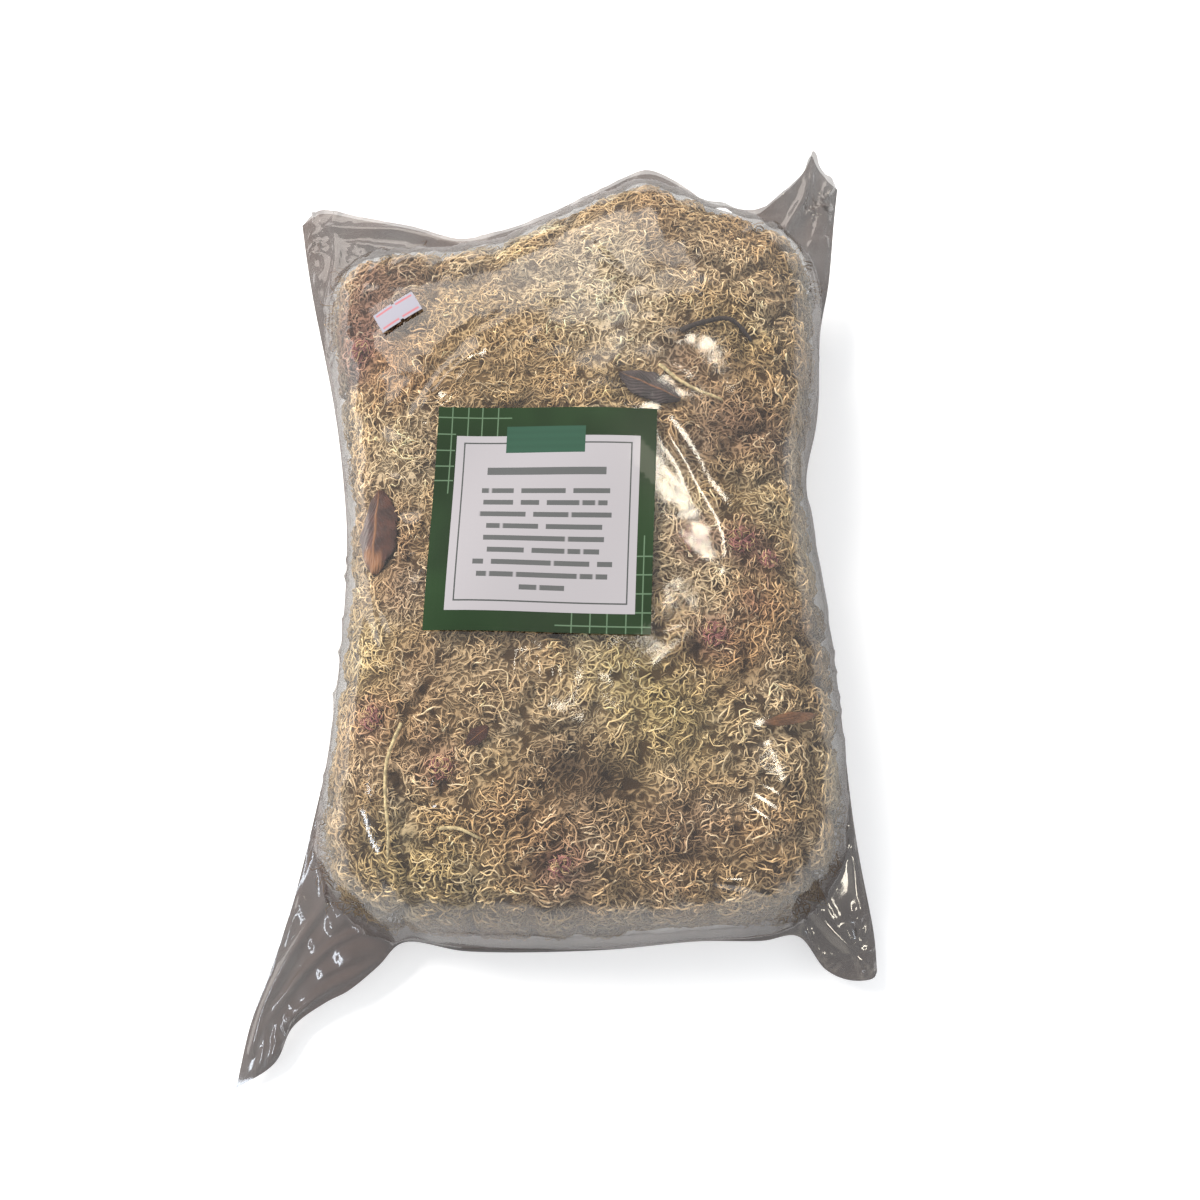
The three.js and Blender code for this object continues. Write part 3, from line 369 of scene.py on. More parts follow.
# Fine wrinkles in two layers, each with its share of the spacing and a seed, over a turned plan.
CRINKLE = {"height": 0.27, "spacing": 14.0, "layers": ((1.0, 17), (0.5, 18)), "room": (4, 30)}
PAPER_MARGIN = 7
LABEL_CORNERS = [(-60.5, -44), (42.5, -46), (47, 65), (-58.5, 67)]
STICKER_CORNERS = [(-88.5, 109), (-69, 120.5), (-75.5, 132), (-95, 120.5)]


def distance_to_route(x, y, route):
    """Distance of each place from a route, and the share of the route that lies before its foot."""
    points = np.array(route, float)
    lengths = np.linalg.norm(np.diff(points, axis=0), axis=1)
    before = np.r_[0, np.cumsum(lengths)]
    best = np.full(np.shape(x), np.inf)
    share = np.zeros(np.shape(x))
    for k, length in enumerate(lengths):
        (ax, ay), (bx, by) = points[k], points[k + 1]
        t = np.clip(((x - ax) * (bx - ax) + (y - ay) * (by - ay)) / length**2, 0, 1)
        distance = np.hypot(x - ax - t * (bx - ax), y - ay - t * (by - ay))
        closer = distance < best
        best = np.where(closer, distance, best)
        share = np.where(closer, (before[k] + t * length) / before[-1], share)
    return best, share


def outside_paper(x, y, corners, margin):
    """0 under a paper on the film, rising to 1 over a margin round it."""
    points = np.array(corners, float)
    out = np.full(np.shape(x), -np.inf)
    for a, b in zip(points, np.roll(points, -1, axis=0)):
        side = b - a
        normal = np.array([side[1], -side[0]]) / np.linalg.norm(side)
        out = np.maximum(out, (x - a[0]) * normal[0] + (y - a[1]) * normal[1])
    return smooth(-1, margin, out)


def film_folds(x, y, room, height):
    """How far the upper film stands off its even form: puckers, fans at the corners and creases."""
    left, right, bottom, top = body_ends(x, y)
    rumple = Rumple(5, PUCKER["spacing"])
    folds = np.zeros(np.shape(x))
    sides = ((x - left, y), (right - x, y), (y - bottom, x), (top - y, x))
    for side, (gap, run) in enumerate(sides):
        across = PUCKER["apart"] * side + gap / PUCKER["length"]
        ridges = 1 - 2 * np.abs(rumple(run + PUCKER["slant"] * gap, across))
        near = np.exp(-np.abs(gap - PUCKER["gap"]) / PUCKER["reach"])
        folds += PUCKER["height"] * np.clip(ridges, 0, 1) * near
    for k, (cx, cy) in enumerate(FAN_CENTRES):
        angle, away = np.arctan2(y - cy, x - cx), np.hypot(x - cx, y - cy)
        rays = Rumple(11 + k, FAN["spacing"])(angle, away / FAN["length"])
        fade = np.exp(-np.maximum(away - FAN["near"], 0) / FAN["reach"])
        folds += FAN["height"] * np.clip(rays, 0, 1) * fade
    for share, seed in CRINKLE["layers"]:
        turned = Rumple(seed, CRINKLE["spacing"] * share)(0.8 * x + 0.6 * y, 0.8 * y - 0.6 * x)
        fine = CRINKLE["height"] * share**2 * (1 - 2 * np.abs(turned))
        folds += fine * smooth(*CRINKLE["room"], room)
    ridges = np.zeros(np.shape(x))
    for route, rise, half_width in CREASES:
        away, share = distance_to_route(x, y, route)
        whole = np.clip(CREASE_END + (1 - 2 * CREASE_END) * share, 0, 1)
        taper = np.sin(np.pi * whole) ** CREASE_POWER
        ridges += rise * taper * np.exp(-((away / half_width) ** 2))
        folds *= 1 - taper * np.exp(-((away / (CREASE_CLEARING * half_width)) ** 2))
    folds += ridges
    for corners in (LABEL_CORNERS, STICKER_CORNERS):
        folds *= outside_paper(x, y, corners, PAPER_MARGIN)
    return height * folds


# ---- finishes


def math_method(operation, turned=False):
    """A method that adds a Math node on a wire and other values, or on a value and the wire."""

    def method(wire, *others):
        values = (*others, wire) if turned else (wire, *others)
        sockets = dict(enumerate(values))
        return wire.finish.node("ShaderNodeMath", {"operation": operation}, sockets)

    return method


class Wire:
    """What comes out of a node: sums on it add Math nodes."""

    def __init__(self, finish, socket):
        self.finish = finish
        self.socket = socket

    __add__ = __radd__ = math_method("ADD")
    __sub__ = math_method("SUBTRACT")
    __rsub__ = math_method("SUBTRACT", turned=True)
    __mul__ = __rmul__ = math_method("MULTIPLY")
    __gt__ = math_method("GREATER_THAN")
    __lt__ = math_method("LESS_THAN")
    __abs__ = math_method("ABSOLUTE")
    at_most = math_method("MINIMUM")
    at_least = math_method("MAXIMUM")
    sine = math_method("SINE")


class Finish:
    """A material, and the ways to add nodes to it."""

    def __init__(self, name):
        self.material = bpy.data.materials.new(name)
        self.material.use_nodes = True
        self.tree = self.material.node_tree
        self.tree.nodes.clear()

    def node(self, kind, settings=None, sockets=None, out=0):
        """Adds a node: its settings first, then a value or a wire for each of its sockets."""
        made = self.tree.nodes.new(kind)
        for name, value in (settings or {}).items():
            if name == "stops":
                self.set_stops(made.color_ramp, value)
            else:
                setattr(made, name, value)
        for key, value in (sockets or {}).items():
            if isinstance(value, Wire):
                self.tree.links.new(value.socket, made.inputs[key])
            else:
                made.inputs[key].default_value = value
        return Wire(self, made.outputs[out])

    @staticmethod
    def set_stops(ramp, stops):
        while len(ramp.elements) < len(stops):
            ramp.elements.new(0.5)
        for element, (place, colour) in zip(ramp.elements, stops):
            element.position = place
            element.color = colour

    def coordinates(self, kind="Object"):
        return self.node("ShaderNodeTexCoord", out={"UV": 2, "Object": 3}[kind])

    def split(self, vector):
        """The first two coordinates of a vector."""
        return [self.node("ShaderNodeSeparateXYZ", None, {0: vector}, out=k) for k in range(2)]

    def noise(self, where, scale, detail=3.0, roughness=0.55):
        sockets = {"Vector": where, "Scale": scale, "Detail": detail, "Roughness": roughness}
        return self.node("ShaderNodeTexNoise", None, sockets)

    def ramp(self, value, stops):
        return self.node("ShaderNodeValToRGB", {"stops": stops}, {0: value})

    def mask(self, value, low, high):
        """0 below low, 1 above high."""
        settings = {"interpolation_type": "SMOOTHSTEP"}
        return self.node("ShaderNodeMapRange", settings, {0: value, 1: low, 2: high})

    def mix(self, share, first, second, blend="MIX"):
        settings = {"data_type": "RGBA", "blend_type": blend}
        return self.node("ShaderNodeMix", settings, {0: share, 6: first, 7: second}, out=2)

    def times(self, first, second):
        """One colour multiplied by another."""
        return self.mix(1.0, first, second, blend="MULTIPLY")

    def mottled(self, noise, low, high, colour, dark, light):
        """A colour that runs from a dark to a light share of itself as a noise rises."""
        return self.mix(self.mask(noise, low, high), solid(colour, dark), solid(colour, light))

    def attribute(self, name, out=0):
        return self.node("ShaderNodeAttribute", {"attribute_name": name}, out=out)

    def bump(self, height, depth, strength=1.0):
        sockets = {"Height": height, "Distance": depth, "Strength": strength}
        return self.node("ShaderNodeBump", None, sockets)

    def principled(self, **sockets):
        """A Principled shader, with underscores for the spaces in the names of its sockets."""
        names = {name.replace("_", " "): value for name, value in sockets.items()}
        return self.node("ShaderNodeBsdfPrincipled", None, names)

    def coat(self, **sockets):
        return self.show(self.principled(**sockets))

    def show(self, shader):
        """Makes a shader the surface, and gives the finished material."""
        output = self.tree.nodes.new("ShaderNodeOutputMaterial")
        self.tree.links.new(shader.socket, output.inputs["Surface"])
        return self.material


def solid(colour, share=1.0):
    """A colour for a socket, made darker or lighter by a share."""
    return (*(channel * share for channel in colour[:3]), 1.0)


# ---- making pieces


def lone(name):
    """The object that an operator has just added, named."""
    made = bpy.context.object
    made.name = made.data.name = name
    return made


def deselect():
    bpy.ops.object.select_all(action="DESELECT")


def select_only(piece):
    deselect()
    piece.select_set(True)
    bpy.context.view_layer.objects.active = piece


def in_edit_mode(piece, *steps):
    """Runs edit mode operators on the whole of a piece."""
    select_only(piece)
    bpy.ops.object.mode_set(mode="EDIT")
    bpy.ops.mesh.select_all(action="SELECT")
    for step in steps:
        step()
    bpy.ops.object.mode_set(mode="OBJECT")


def modified(piece, kind, **settings):
    """Adds a modifier and applies it."""
    select_only(piece)
    modifier = piece.modifiers.new(kind.title(), kind)
    for name, value in settings.items():
        setattr(modifier, name, value)
    bpy.ops.object.modifier_apply(modifier=modifier.name)


def weld():
    """Joins corners that lie on each other."""
    bpy.ops.mesh.remove_doubles(threshold=1e-6)


def smoothed(piece, degrees=None):
    """Shades a piece smooth, but for edges sharper than an angle if one is given."""
    select_only(piece)
    if degrees is None:
        bpy.ops.object.shade_smooth()
    else:
        bpy.ops.object.shade_smooth_by_angle(angle=math.radians(degrees))
    return piece


def net_piece(name, points):
    """A grid primitive whose corners are moved to a net of points, in millimetres."""
    columns, rows = points.shape[:2]
    deselect()
    bpy.ops.mesh.primitive_grid_add(x_subdivisions=columns - 1, y_subdivisions=rows - 1, size=1)
    piece = lone(name)
    places = np.swapaxes(points, 0, 1).reshape(-1, 3) * METRE
    piece.data.vertices.foreach_set("co", places.ravel())
    piece.data.update()
    return piece


def paint(piece, name, values, colours=False):
    """Writes one value, or one colour, for each corner of a piece's mesh."""
    data = piece.data
    if colours:
        values = np.concatenate([values, np.ones(values.shape[:-1] + (1,))], -1)
        layer = data.color_attributes.new(name=name, type="FLOAT_COLOR", domain="POINT")
    else:
        layer = data.attributes.new(name, "FLOAT", "POINT")
    flat = np.ascontiguousarray(values, np.float32).ravel()
    layer.data.foreach_set("color" if colours else "value", flat)


def pillow(name, upper, lower, fields):
    """Two nets joined where their rims meet, with a field painted on each."""
    top = net_piece(name, upper)
    bottom = net_piece(name + "_under", lower)
    for field, values in fields.items():
        for piece, net in ((top, values[0]), (bottom, values[1])):
            paint(piece, field, net.T)
    in_edit_mode(bottom, bpy.ops.mesh.flip_normals)
    select_only(top)
    bottom.select_set(True)
    bpy.ops.object.join()
    in_edit_mode(top, weld)
    return top


def neighbours(field, reach, **padding):
    """A net read at every shift of up to some corners, with what lies past its edge padded."""
    padded = np.pad(field, reach, **padding)
    rows, columns = field.shape
    shifts = range(2 * reach + 1)
    return [padded[i:i + rows, j:j + columns] for i in shifts for j in shifts]


def all_round(mask):
    """True where a mask over a net holds for a corner and for every corner next to it."""
    return np.all(neighbours(mask, 1, constant_values=True), axis=0)


def least_near(field, reach):
    """The least value of a net within some corners of each corner."""
    return np.min(neighbours(field, reach, mode="edge"), axis=0)


def delete_chosen(piece, kind, elements, chosen):
    """Deletes corners or faces of a piece by a mask over them."""
    in_edit_mode(piece, lambda: bpy.ops.mesh.select_mode(type=kind),
                 lambda: bpy.ops.mesh.select_all(action="DESELECT"))
    elements.foreach_set("select", chosen)
    bpy.ops.object.mode_set(mode="EDIT")
    bpy.ops.mesh.delete(type=kind)
    bpy.ops.object.mode_set(mode="OBJECT")


def settle(piece, finish, nodes):
    """Gives a finished piece its material and body, and hides the CAD nodes that it stands for."""
    piece.data.materials.clear()
    piece.data.materials.append(finish)
    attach(piece, "root")
    if nodes:
        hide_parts(*nodes)
    deselect()


def unit(vectors):
    """Vectors brought to length 1."""
    least = 1e-9
    return vectors / np.maximum(np.linalg.norm(vectors, axis=-1, keepdims=True), least)


def towards(angle, east, north):
    """Directions at angles from east towards north."""
    return np.cos(angle)[..., None] * east + np.sin(angle)[..., None] * north


def strand_piece(name, paths, ups, radii, colours):
    """Closed three-sided strands in one mesh, all measures given by strand and step."""
    count, steps = paths.shape[:2]
    tangents = unit(np.gradient(paths, axis=1))
    sides = unit(np.cross(tangents, ups))
    outs = np.cross(sides, tangents)
    turns = np.radians([90, 210, 330])
    rings = [math.cos(a) * sides + math.sin(a) * outs for a in turns]
    corners = paths[:, :, None] + np.stack(rings, 2) * radii[..., None, None]
    number = np.arange(count * steps * 3).reshape(count, steps, 3)
    near, far = number[:, :-1], number[:, 1:]
    beside, far_beside = np.roll(near, -1, 2), np.roll(far, -1, 2)
    walls = [np.stack(corner, -1).reshape(-1, 3) for corner in
             ((near, far, far_beside), (near, far_beside, beside))]
    caps = [number[:, 0], number[:, -1, ::-1]]
    faces = np.concatenate(walls + caps)
    mesh = bpy.data.meshes.new(name)
    mesh.vertices.add(corners.size // 3)
    mesh.vertices.foreach_set("co", (corners * METRE).astype(np.float32).ravel())
    mesh.loops.add(faces.size)
    mesh.loops.foreach_set("vertex_index", faces.astype(np.int32).ravel())
    mesh.polygons.add(len(faces))
    mesh.polygons.foreach_set("loop_start", np.arange(0, faces.size, 3, dtype=np.int32))
    mesh.update(calc_edges=True)
    mesh.shade_smooth()
    piece = bpy.data.objects.new(name, mesh)
    bpy.context.collection.objects.link(piece)
    paint(piece, "tone", np.repeat(colours[:, :, None], 3, axis=2), colours=True)
    return piece


# ---- what a user may change


def colour_choice(name, description, *screen):
    """A colour for the panel, from its 0 to 255 screen values."""
    return bpy.props.FloatVectorProperty(
        name=name, description=description, default=linear(*screen), min=0, max=1, subtype="COLOR")


def amount(name, description, default, most=1, least=0, **kind):
    """A number for the panel, with its unit or subtype."""
    return bpy.props.FloatProperty(
        name=name, description=description, default=default, min=least, max=most, **kind)


class MossBagFilm(bpy.types.PropertyGroup):
    """The clear film."""

    # The tint and the haze also lay the painted shade on the walls of the bag and the painted light
    # towards its far end.
    tint: colour_choice(
        "Slack tint", "Colour of the film where it lies on itself, off the moss", 78, 67, 61)
    haze: amount(
        "Haze", "How much the slack film hides what lies behind it", 0.72, subtype="FACTOR")
    veil: amount("Veil", "How much the taut film over the moss hides", 0.03, subtype="FACTOR")
    fold_height: amount(
        "Folds", "Height of the folds, as a share of their usual height", 1.0, 2, subtype="FACTOR")
    roughness: amount("Roughness", "How dull the gloss of the film is", 0.12, subtype="FACTOR")


class MossBagMoss(bpy.types.PropertyGroup):
    """The dried moss."""

    strands: bpy.props.IntProperty(
        name="Strands", description="How many strands all tufts hold together",
        default=13200, min=500, max=16000)
    thickness: amount(
        "Thickness", "Thickness of a strand", 0.86 * METRE, 3 * METRE, 0.3 * METRE, unit="LENGTH")
    straw: colour_choice("Straw", "Colour of most strands", 230, 202, 157)
    # Cream is also laid on as painted sheen of the film at the top of the bag and left of the
    # label.
    cream: colour_choice("Cream", "Colour of the bleached patches", 244, 229, 199)
    green: colour_choice("Green", "Colour of the patches that kept some green", 216, 200, 144)
    orange: colour_choice("Orange", "Colour of the rusty patches", 206, 164, 120)
    purple: colour_choice("Purple", "Colour of the purple-brown patches", 158, 120, 110)
    brown: colour_choice("Brown", "Colour of the darkest strands", 112, 88, 70)
    pink: colour_choice("Pink", "Colour of the moss heads", 178, 124, 122)


class MossBagFinds(bpy.types.PropertyGroup):
    """Dead leaves, twigs and stalks."""

    leaf: colour_choice("Brown leaf", "Colour of the large and the small dead leaf", 66, 35, 23)
    leaf_patch: colour_choice(
        "Leaf patch", "Colour of the dry patch on the brown leaf", 146, 100, 62)
    dark_leaf: colour_choice("Dark leaf", "Colour of the grey-brown leaf", 62, 52, 51)
    orange_leaf: colour_choice("Orange leaf", "Colour of the narrow leaf", 130, 86, 50)
    twig: colour_choice("Twig", "Colour of the dark twig", 54, 43, 39)
    stalk: colour_choice("Stalk", "Colour of the pale stalks", 206, 186, 140)


class MossBagPapers(bpy.types.PropertyGroup):
    """The label and the price sticker."""

    green: colour_choice("Label", "Ground of the label", 26, 46, 22)
    tab: colour_choice("Tab", "Tab over the top of the panel", 44, 76, 60)
    panel: colour_choice("Panel", "White panel of the label", 160, 156, 159)
    ink: colour_choice("Ink", "Ruled lines and the frame on the panel", 62, 66, 64)
    net: colour_choice("Net", "Pale net on the label's corners", 100, 124, 98)
    sticker: colour_choice("Sticker", "Ground of the price sticker", 144, 142, 152)
    sticker_edge: colour_choice("Sticker edge", "Lines along the price sticker", 170, 92, 97)


class MossBagStage(bpy.types.PropertyGroup):
    """Floor, light and view."""

    floor: bpy.props.FloatVectorProperty(
        name="Floor", description="Colour of the floor",
        default=(0.93, 0.93, 0.93), min=0, max=1, subtype="COLOR")
    floor_glow: amount(
        "Floor glow", "Light from the floor itself, which keeps the shadow on it faint", 0.35, 2)
    sky: amount("Sky", "Strength of the even light from all sides", 0.7, 5)
    soft_light: amount("Soft light", "Power of the large soft light", 150, 500, unit="POWER")
    lamp: amount("Lamps", "Brightness of the warm lamps that show in the film", 17, 200)
    window: amount(
        "Window", "Brightness of the wide panel that shows in the film's far end", 2.3, 50)
    strip: amount(
        "Strip", "Brightness of the cool strip that shows in the film's near side", 14, 200)
    lens: amount("Lens", "Focal length", 26.1, 200, 10, unit="CAMERA")


# ---- the bag


def film_finish(choice):
    """Clear where the film is taut over the moss, hazy where it is slack, glossy all over; with
    painted shade on the walls of the bag and painted light towards its far end.
    """
    finish = Finish("clear_film")
    where = finish.coordinates()
    # The slack field also holds the painted shade on the walls of the bag.
    slack = finish.attribute("slack", out=2)
    cloud = finish.noise(where, 28.0, 1.5)
    dents = finish.bump(cloud, 0.0006, 0.3)
    # Painted light: the haze is made lighter towards the far end of the bag and darker at its near
    # end.
    _, north = finish.split(where)
    light = finish.mask(north, -0.2, 0.2)
    shade = finish.mottled(cloud, 0.3, 0.7, choice.tint, 0.72, 1.2)
    shade = finish.times(shade, finish.mix(light, (0.8, 0.79, 0.83, 1), (0.95, 0.93, 0.93, 1)))
    # Painted shade: on the walls of the bag the haze is made darker and warmer.
    warm = finish.times(shade, (0.85, 0.62, 0.5, 1))
    shade = finish.mix(finish.attribute("steep", out=2), shade, warm)
    haze = finish.principled(Base_Color=shade, Roughness=0.5, Normal=dents)
    clear = finish.node("ShaderNodeBsdfTransparent", None, {0: (0.97, 0.965, 0.955, 1)})
    cover = slack * (cloud * 0.3 + 0.85) * choice.haze + choice.veil
    body = finish.node("ShaderNodeMixShader", None, {0: cover, 1: clear, 2: haze})
    gloss = finish.principled(
        Base_Color=(1, 1, 1, 1), Metallic=1.0, Roughness=choice.roughness, Normal=dents)
    mirror = finish.node("ShaderNodeFresnel", None, {"IOR": 1.5, "Normal": dents})
    shine = (mirror * 1.25 + 0.012).at_most(0.09)
    return finish.show(finish.node("ShaderNodeMixShader", None, {0: shine, 1: body, 2: gloss}))


class MOSSBAG_OT_film(bpy.types.Operator):
    """Make the film bag: two films joined at their rims, with folds, puckers and slack corners"""

    bl_idname = "mossbag.film"
    bl_label = "Film bag"

    # How far the film stands off its form, the lower film's share of the folds, and its least
    # height. Folds and skin grow in over these shares of the film from its rim.
    SKIN = 0.45
    FOLDS_UNDER = 0.35
    LEAST_HEIGHT = 0.15
    RIM_SHARES = (0.02, 0.015)
    # Rooms between the films over which the haze, the painted shade on the walls and the lower
    # folds change.
    SLACK_ROOM, UNDER_ROOM, WALL_ROOM, FOLD_ROOM = (3, 34), (8, 50), (78, 36), (60, 0)
    # How strong the painted shade on the walls of the bag is, laid on the film as a darker haze.
    WALL_SHADE_HAZE = 0.66
    # The haze of the film by the mouth, and how near the end of the moss it grows.
    END_HAZE, END_GAP = 0.85, (26, 12)

    def execute(self, context):
        choice = context.scene.moss_bag_film
        film, room = films()
        upper, lower = film["upper"], film["lower"]
        x, y = upper.points[..., 0], upper.points[..., 1]
        folds = film_folds(x, y, room, choice.fold_height)
        inside = off_rim(COLUMNS[:, None], ROWS, *self.RIM_SHARES)
        top = upper.points + upper.normals * ((self.SKIN + folds) * inside)[..., None]
        fold_under = self.FOLDS_UNDER * folds * smooth(*self.FOLD_ROOM, room) + self.SKIN
        bottom = lower.points + lower.normals * (fold_under * inside)[..., None]
        bottom[..., 2] = np.maximum(bottom[..., 2], self.LEAST_HEIGHT)
        end = self.END_HAZE * smooth(*self.END_GAP, chain(BODY_TOP, x) - y)
        slack = np.maximum(1 - smooth(*self.SLACK_ROOM, room), end)
        behind = 1 - smooth(*self.UNDER_ROOM, room)
        # Painted shade on the walls of the bag: a darker, warmer haze where the films close in over
        # the moss, which also goes into the slack field.
        steep = self.WALL_SHADE_HAZE * smooth(*self.WALL_ROOM, room)
        fields = {"slack": (np.maximum(slack, steep), behind), "steep": (steep, 0 * steep)}
        piece = smoothed(pillow("film_bag", top, bottom, fields), 50)
        settle(piece, film_finish(choice), ["bag"])
        return {"FINISHED"}


# ---- the moss

# x, y and radius of each pink head.
HEADS = ((64, 1, 7), (87, 1, 7), (72, -45, 6), (100, -8, 4.5), (-106, 106, 6.5), (-86, -82, 6),
         (-51, -105, 5.5), (2, -148, 5.5))
# Patches of another colour than straw: x, y, radius, colour and how strong.
PATCHES = (
    (-100, 140, 34, "purple", 0.75), (-108, 108, 26, "purple", 0.7), (-84, 110, 22, "purple", 0.55),
    (-78, 146, 18, "brown", 0.6), (-72, 98, 22, "orange", 0.6), (-88, 88, 16, "orange", 0.5),
    (-40, 146, 14, "brown", 0.6), (-22, 138, 16, "brown", 0.45), (0, 146, 14, "brown", 0.55),
    # The cream patches on this line, at the top of the bag, are partly pale moss and partly painted
    # sheen of the film.
    (6, 132, 30, "cream", 0.8), (36, 128, 26, "cream", 0.75), (22, 158, 26, "cream", 0.8),
    (60, 170, 30, "brown", 0.35), (100, 150, 30, "orange", 0.35), (84, 150, 20, "cream", 0.5),
    (66, 98, 20, "purple", 0.6), (84, 112, 24, "green", 0.35), (104, 84, 26, "orange", 0.35),
    (80, 56, 22, "purple", 0.6), (104, 52, 18, "purple", 0.5), (62, 40, 12, "brown", 0.55),
    (50, 30, 16, "cream", 0.6), (96, 26, 26, "green", 0.3), (90, -2, 12, "purple", 0.4),
    (54, 0, 22, "cream", 0.6), (72, -28, 18, "cream", 0.6), (84, -50, 14, "orange", 0.6),
    (104, -40, 24, "orange", 0.35), (66, -52, 18, "brown", 0.3), (38, -70, 22, "green", 0.7),
    (22, -60, 18, "green", 0.5), (4, -84, 26, "cream", 0.3), (-30, -60, 22, "cream", 0.35),
    (60, -92, 24, "green", 0.4), (96, -96, 22, "cream", 0.35), (10, -108, 18, "brown", 0.7),
    (24, -112, 14, "brown", 0.6), (58, -128, 20, "purple", 0.5), (96, -140, 28, "orange", 0.3),
    (-20, -138, 30, "orange", 0.4), (6, -150, 22, "purple", 0.4), (-50, -152, 24, "green", 0.5),
    (-78, -146, 20, "green", 0.3), (-92, -120, 24, "brown", 0.3), (-84, -90, 22, "orange", 0.4),
    (-56, -96, 16, "purple", 0.35), (-92, -50, 24, "green", 0.5), (-74, -24, 16, "purple", 0.45),
    (-66, -62, 18, "purple", 0.35), (-98, 26, 22, "orange", 0.4), (-84, 4, 20, "purple", 0.3),
    (-60, 112, 24, "straw", 0.7), (-30, 108, 30, "straw", 0.8), (-12, 86, 22, "straw", 0.7),
    (110, 190, 24, "orange", 0.4), (128, 150, 18, "brown", 0.3), (40, -160, 26, "orange", 0.3),
    # The cream patch at the end of this line, left of the label, is partly pale moss and partly
    # painted sheen of the film.
    (90, -29, 11, "orange", 0.7), (91, -30, 7, "pink", 0.4), (-74, 44, 24, "cream", 0.75),
    *((x, y, 1.7 * radius, "pink", 0.5) for x, y, radius in HEADS),
)
# Hollows between tufts, sunk deeper, where the strands are painted dark with shade: x, y, radius
# and depth.
HOLLOWS = (
    (-42, 146, 5, 8), (0, 148, 5, 8), (-22, 141, 6, 6), (84, 49, 6, 9), (64, 51, 4, 8),
    (58, 98, 7, 6), (6, -108, 7, 8), (22, -110, 6, 8), (40, -114, 5, 7), (-44, -63, 4, 6),
    (80, -104, 5, 5),
    (-62, 88, 5, 6), (-104, 132, 6, 6), (60, 26, 4, 6), (104, -2, 4, 6), (66, -54, 5, 7),
    (-86, 8, 5, 7), (36, 144, 5, 5), (-74, -110, 5, 5), (30, -160, 6, 6), (-6, -150, 5, 6),
)
# Room under the finds, so that no strand crosses them: x, y, radius and depth.
FIND_ROOM = (
    *((x, y, 0.95 * radius, 0.85 * radius) for x, y, radius in HEADS),
    (-90, -7, 7, 5), (-90, 1, 10, 5.5), (-90, 10, 11, 5.5), (-89, 19, 9, 5), (-89, 26, 5, 4),
    (34, 85, 6, 4.5), (41, 82, 8, 5), (48, 79, 8, 5), (55, 75, 6, 4.5),
    (97, -84, 4, 3.5), (104, -83, 4, 3.5), (111, -82, 4, 3.5), (118, -81, 4, 3.5),
    (-38, -93, 5, 4), (-33, -89, 5, 4),
    (62, 112, 4, 2.5), (68, 114, 4, 2.5), (74, 116, 4, 2.5), (80, 117, 4, 2.5), (86, 117, 4, 2.5),
    (92, 112, 4, 2.5), (96, 107, 4, 2.5),
)
CLUMP_SPACING = 27.0
BED_SEED = 71
STEPS = 10
# Room between the films over which strands start, and the share of them that starts where the
# lower film leaves the floor (by height) or the upper one turns down (by slope).
START_ROOM = (2.5, 8)
START_UNDER, START_HEIGHTS = 0.3, (1, 7)
START_WALL, START_SLOPES = 0.8, (0.2, 0.7)
# Shares of the film within which strands start and run, across and along it.
START_REACH = ((0.01, 0.99), (0.01, 0.985))
WALK_REACH = ((0.012, 0.988), (0.012, 0.985))
# Stride and curl of a strand: their least, and what being straight or curly adds.
STRIDE, STRAIGHTER = 1.6, 1.2
CURL, CURLIER = 0.35, 1.3
PACE = (0.7, 1.5)
# Share of the strands that keep bending one way, and how far at each stride.
BENT, BEND = 0.34, (0.3, 0.75)
STRAY = 0.4
# How far a strand turns inward at a stride, and the room in which it does.
TURN_BACK, TURN_ROOM = 1.4, (4, 10)
# Depth under the film: clear of it, then a mean and a most for layers, a height, a share of the
# phase and a pace for the weave, and least and most for the sunken ends.
CLEAR = 1.55
LAYERS = (1.1, 4)
WEAVE = (0.8, 3, 1.25)
ENDS = (0.5, 3.6)
DEEPEST = (0.3, 0.45)
GIRTH, TAPER = (0.72, 1.2), 0.55
# Painted shade: strands are made darker the deeper they lie, and on the walls of the bag.
DEPTH_SHADE = {"start": 1.22, "fall": 0.086, "from": 1.4, "limits": (0.24, 1.2)}
WALL_SHADE, WALL_SLOPES = 0.58, (0.15, 0.8)


def clump_centres():
    """Middles of the clumps that the moss falls into, jittered off a square net."""
    rng = np.random.default_rng(31)
    jitter = 0.42
    x, y = np.meshgrid(np.arange(-165, 175, CLUMP_SPACING), np.arange(-215, 260, CLUMP_SPACING))
    centres = np.stack([x.ravel(), y.ravel()], -1)
    return centres + rng.uniform(-jitter, jitter, centres.shape) * CLUMP_SPACING


def spot(x, y, cx, cy, radius):
    """The square of the distance from a spot's middle, in radii."""
    return ((x - cx) ** 2 + (y - cy) ** 2) / radius**2


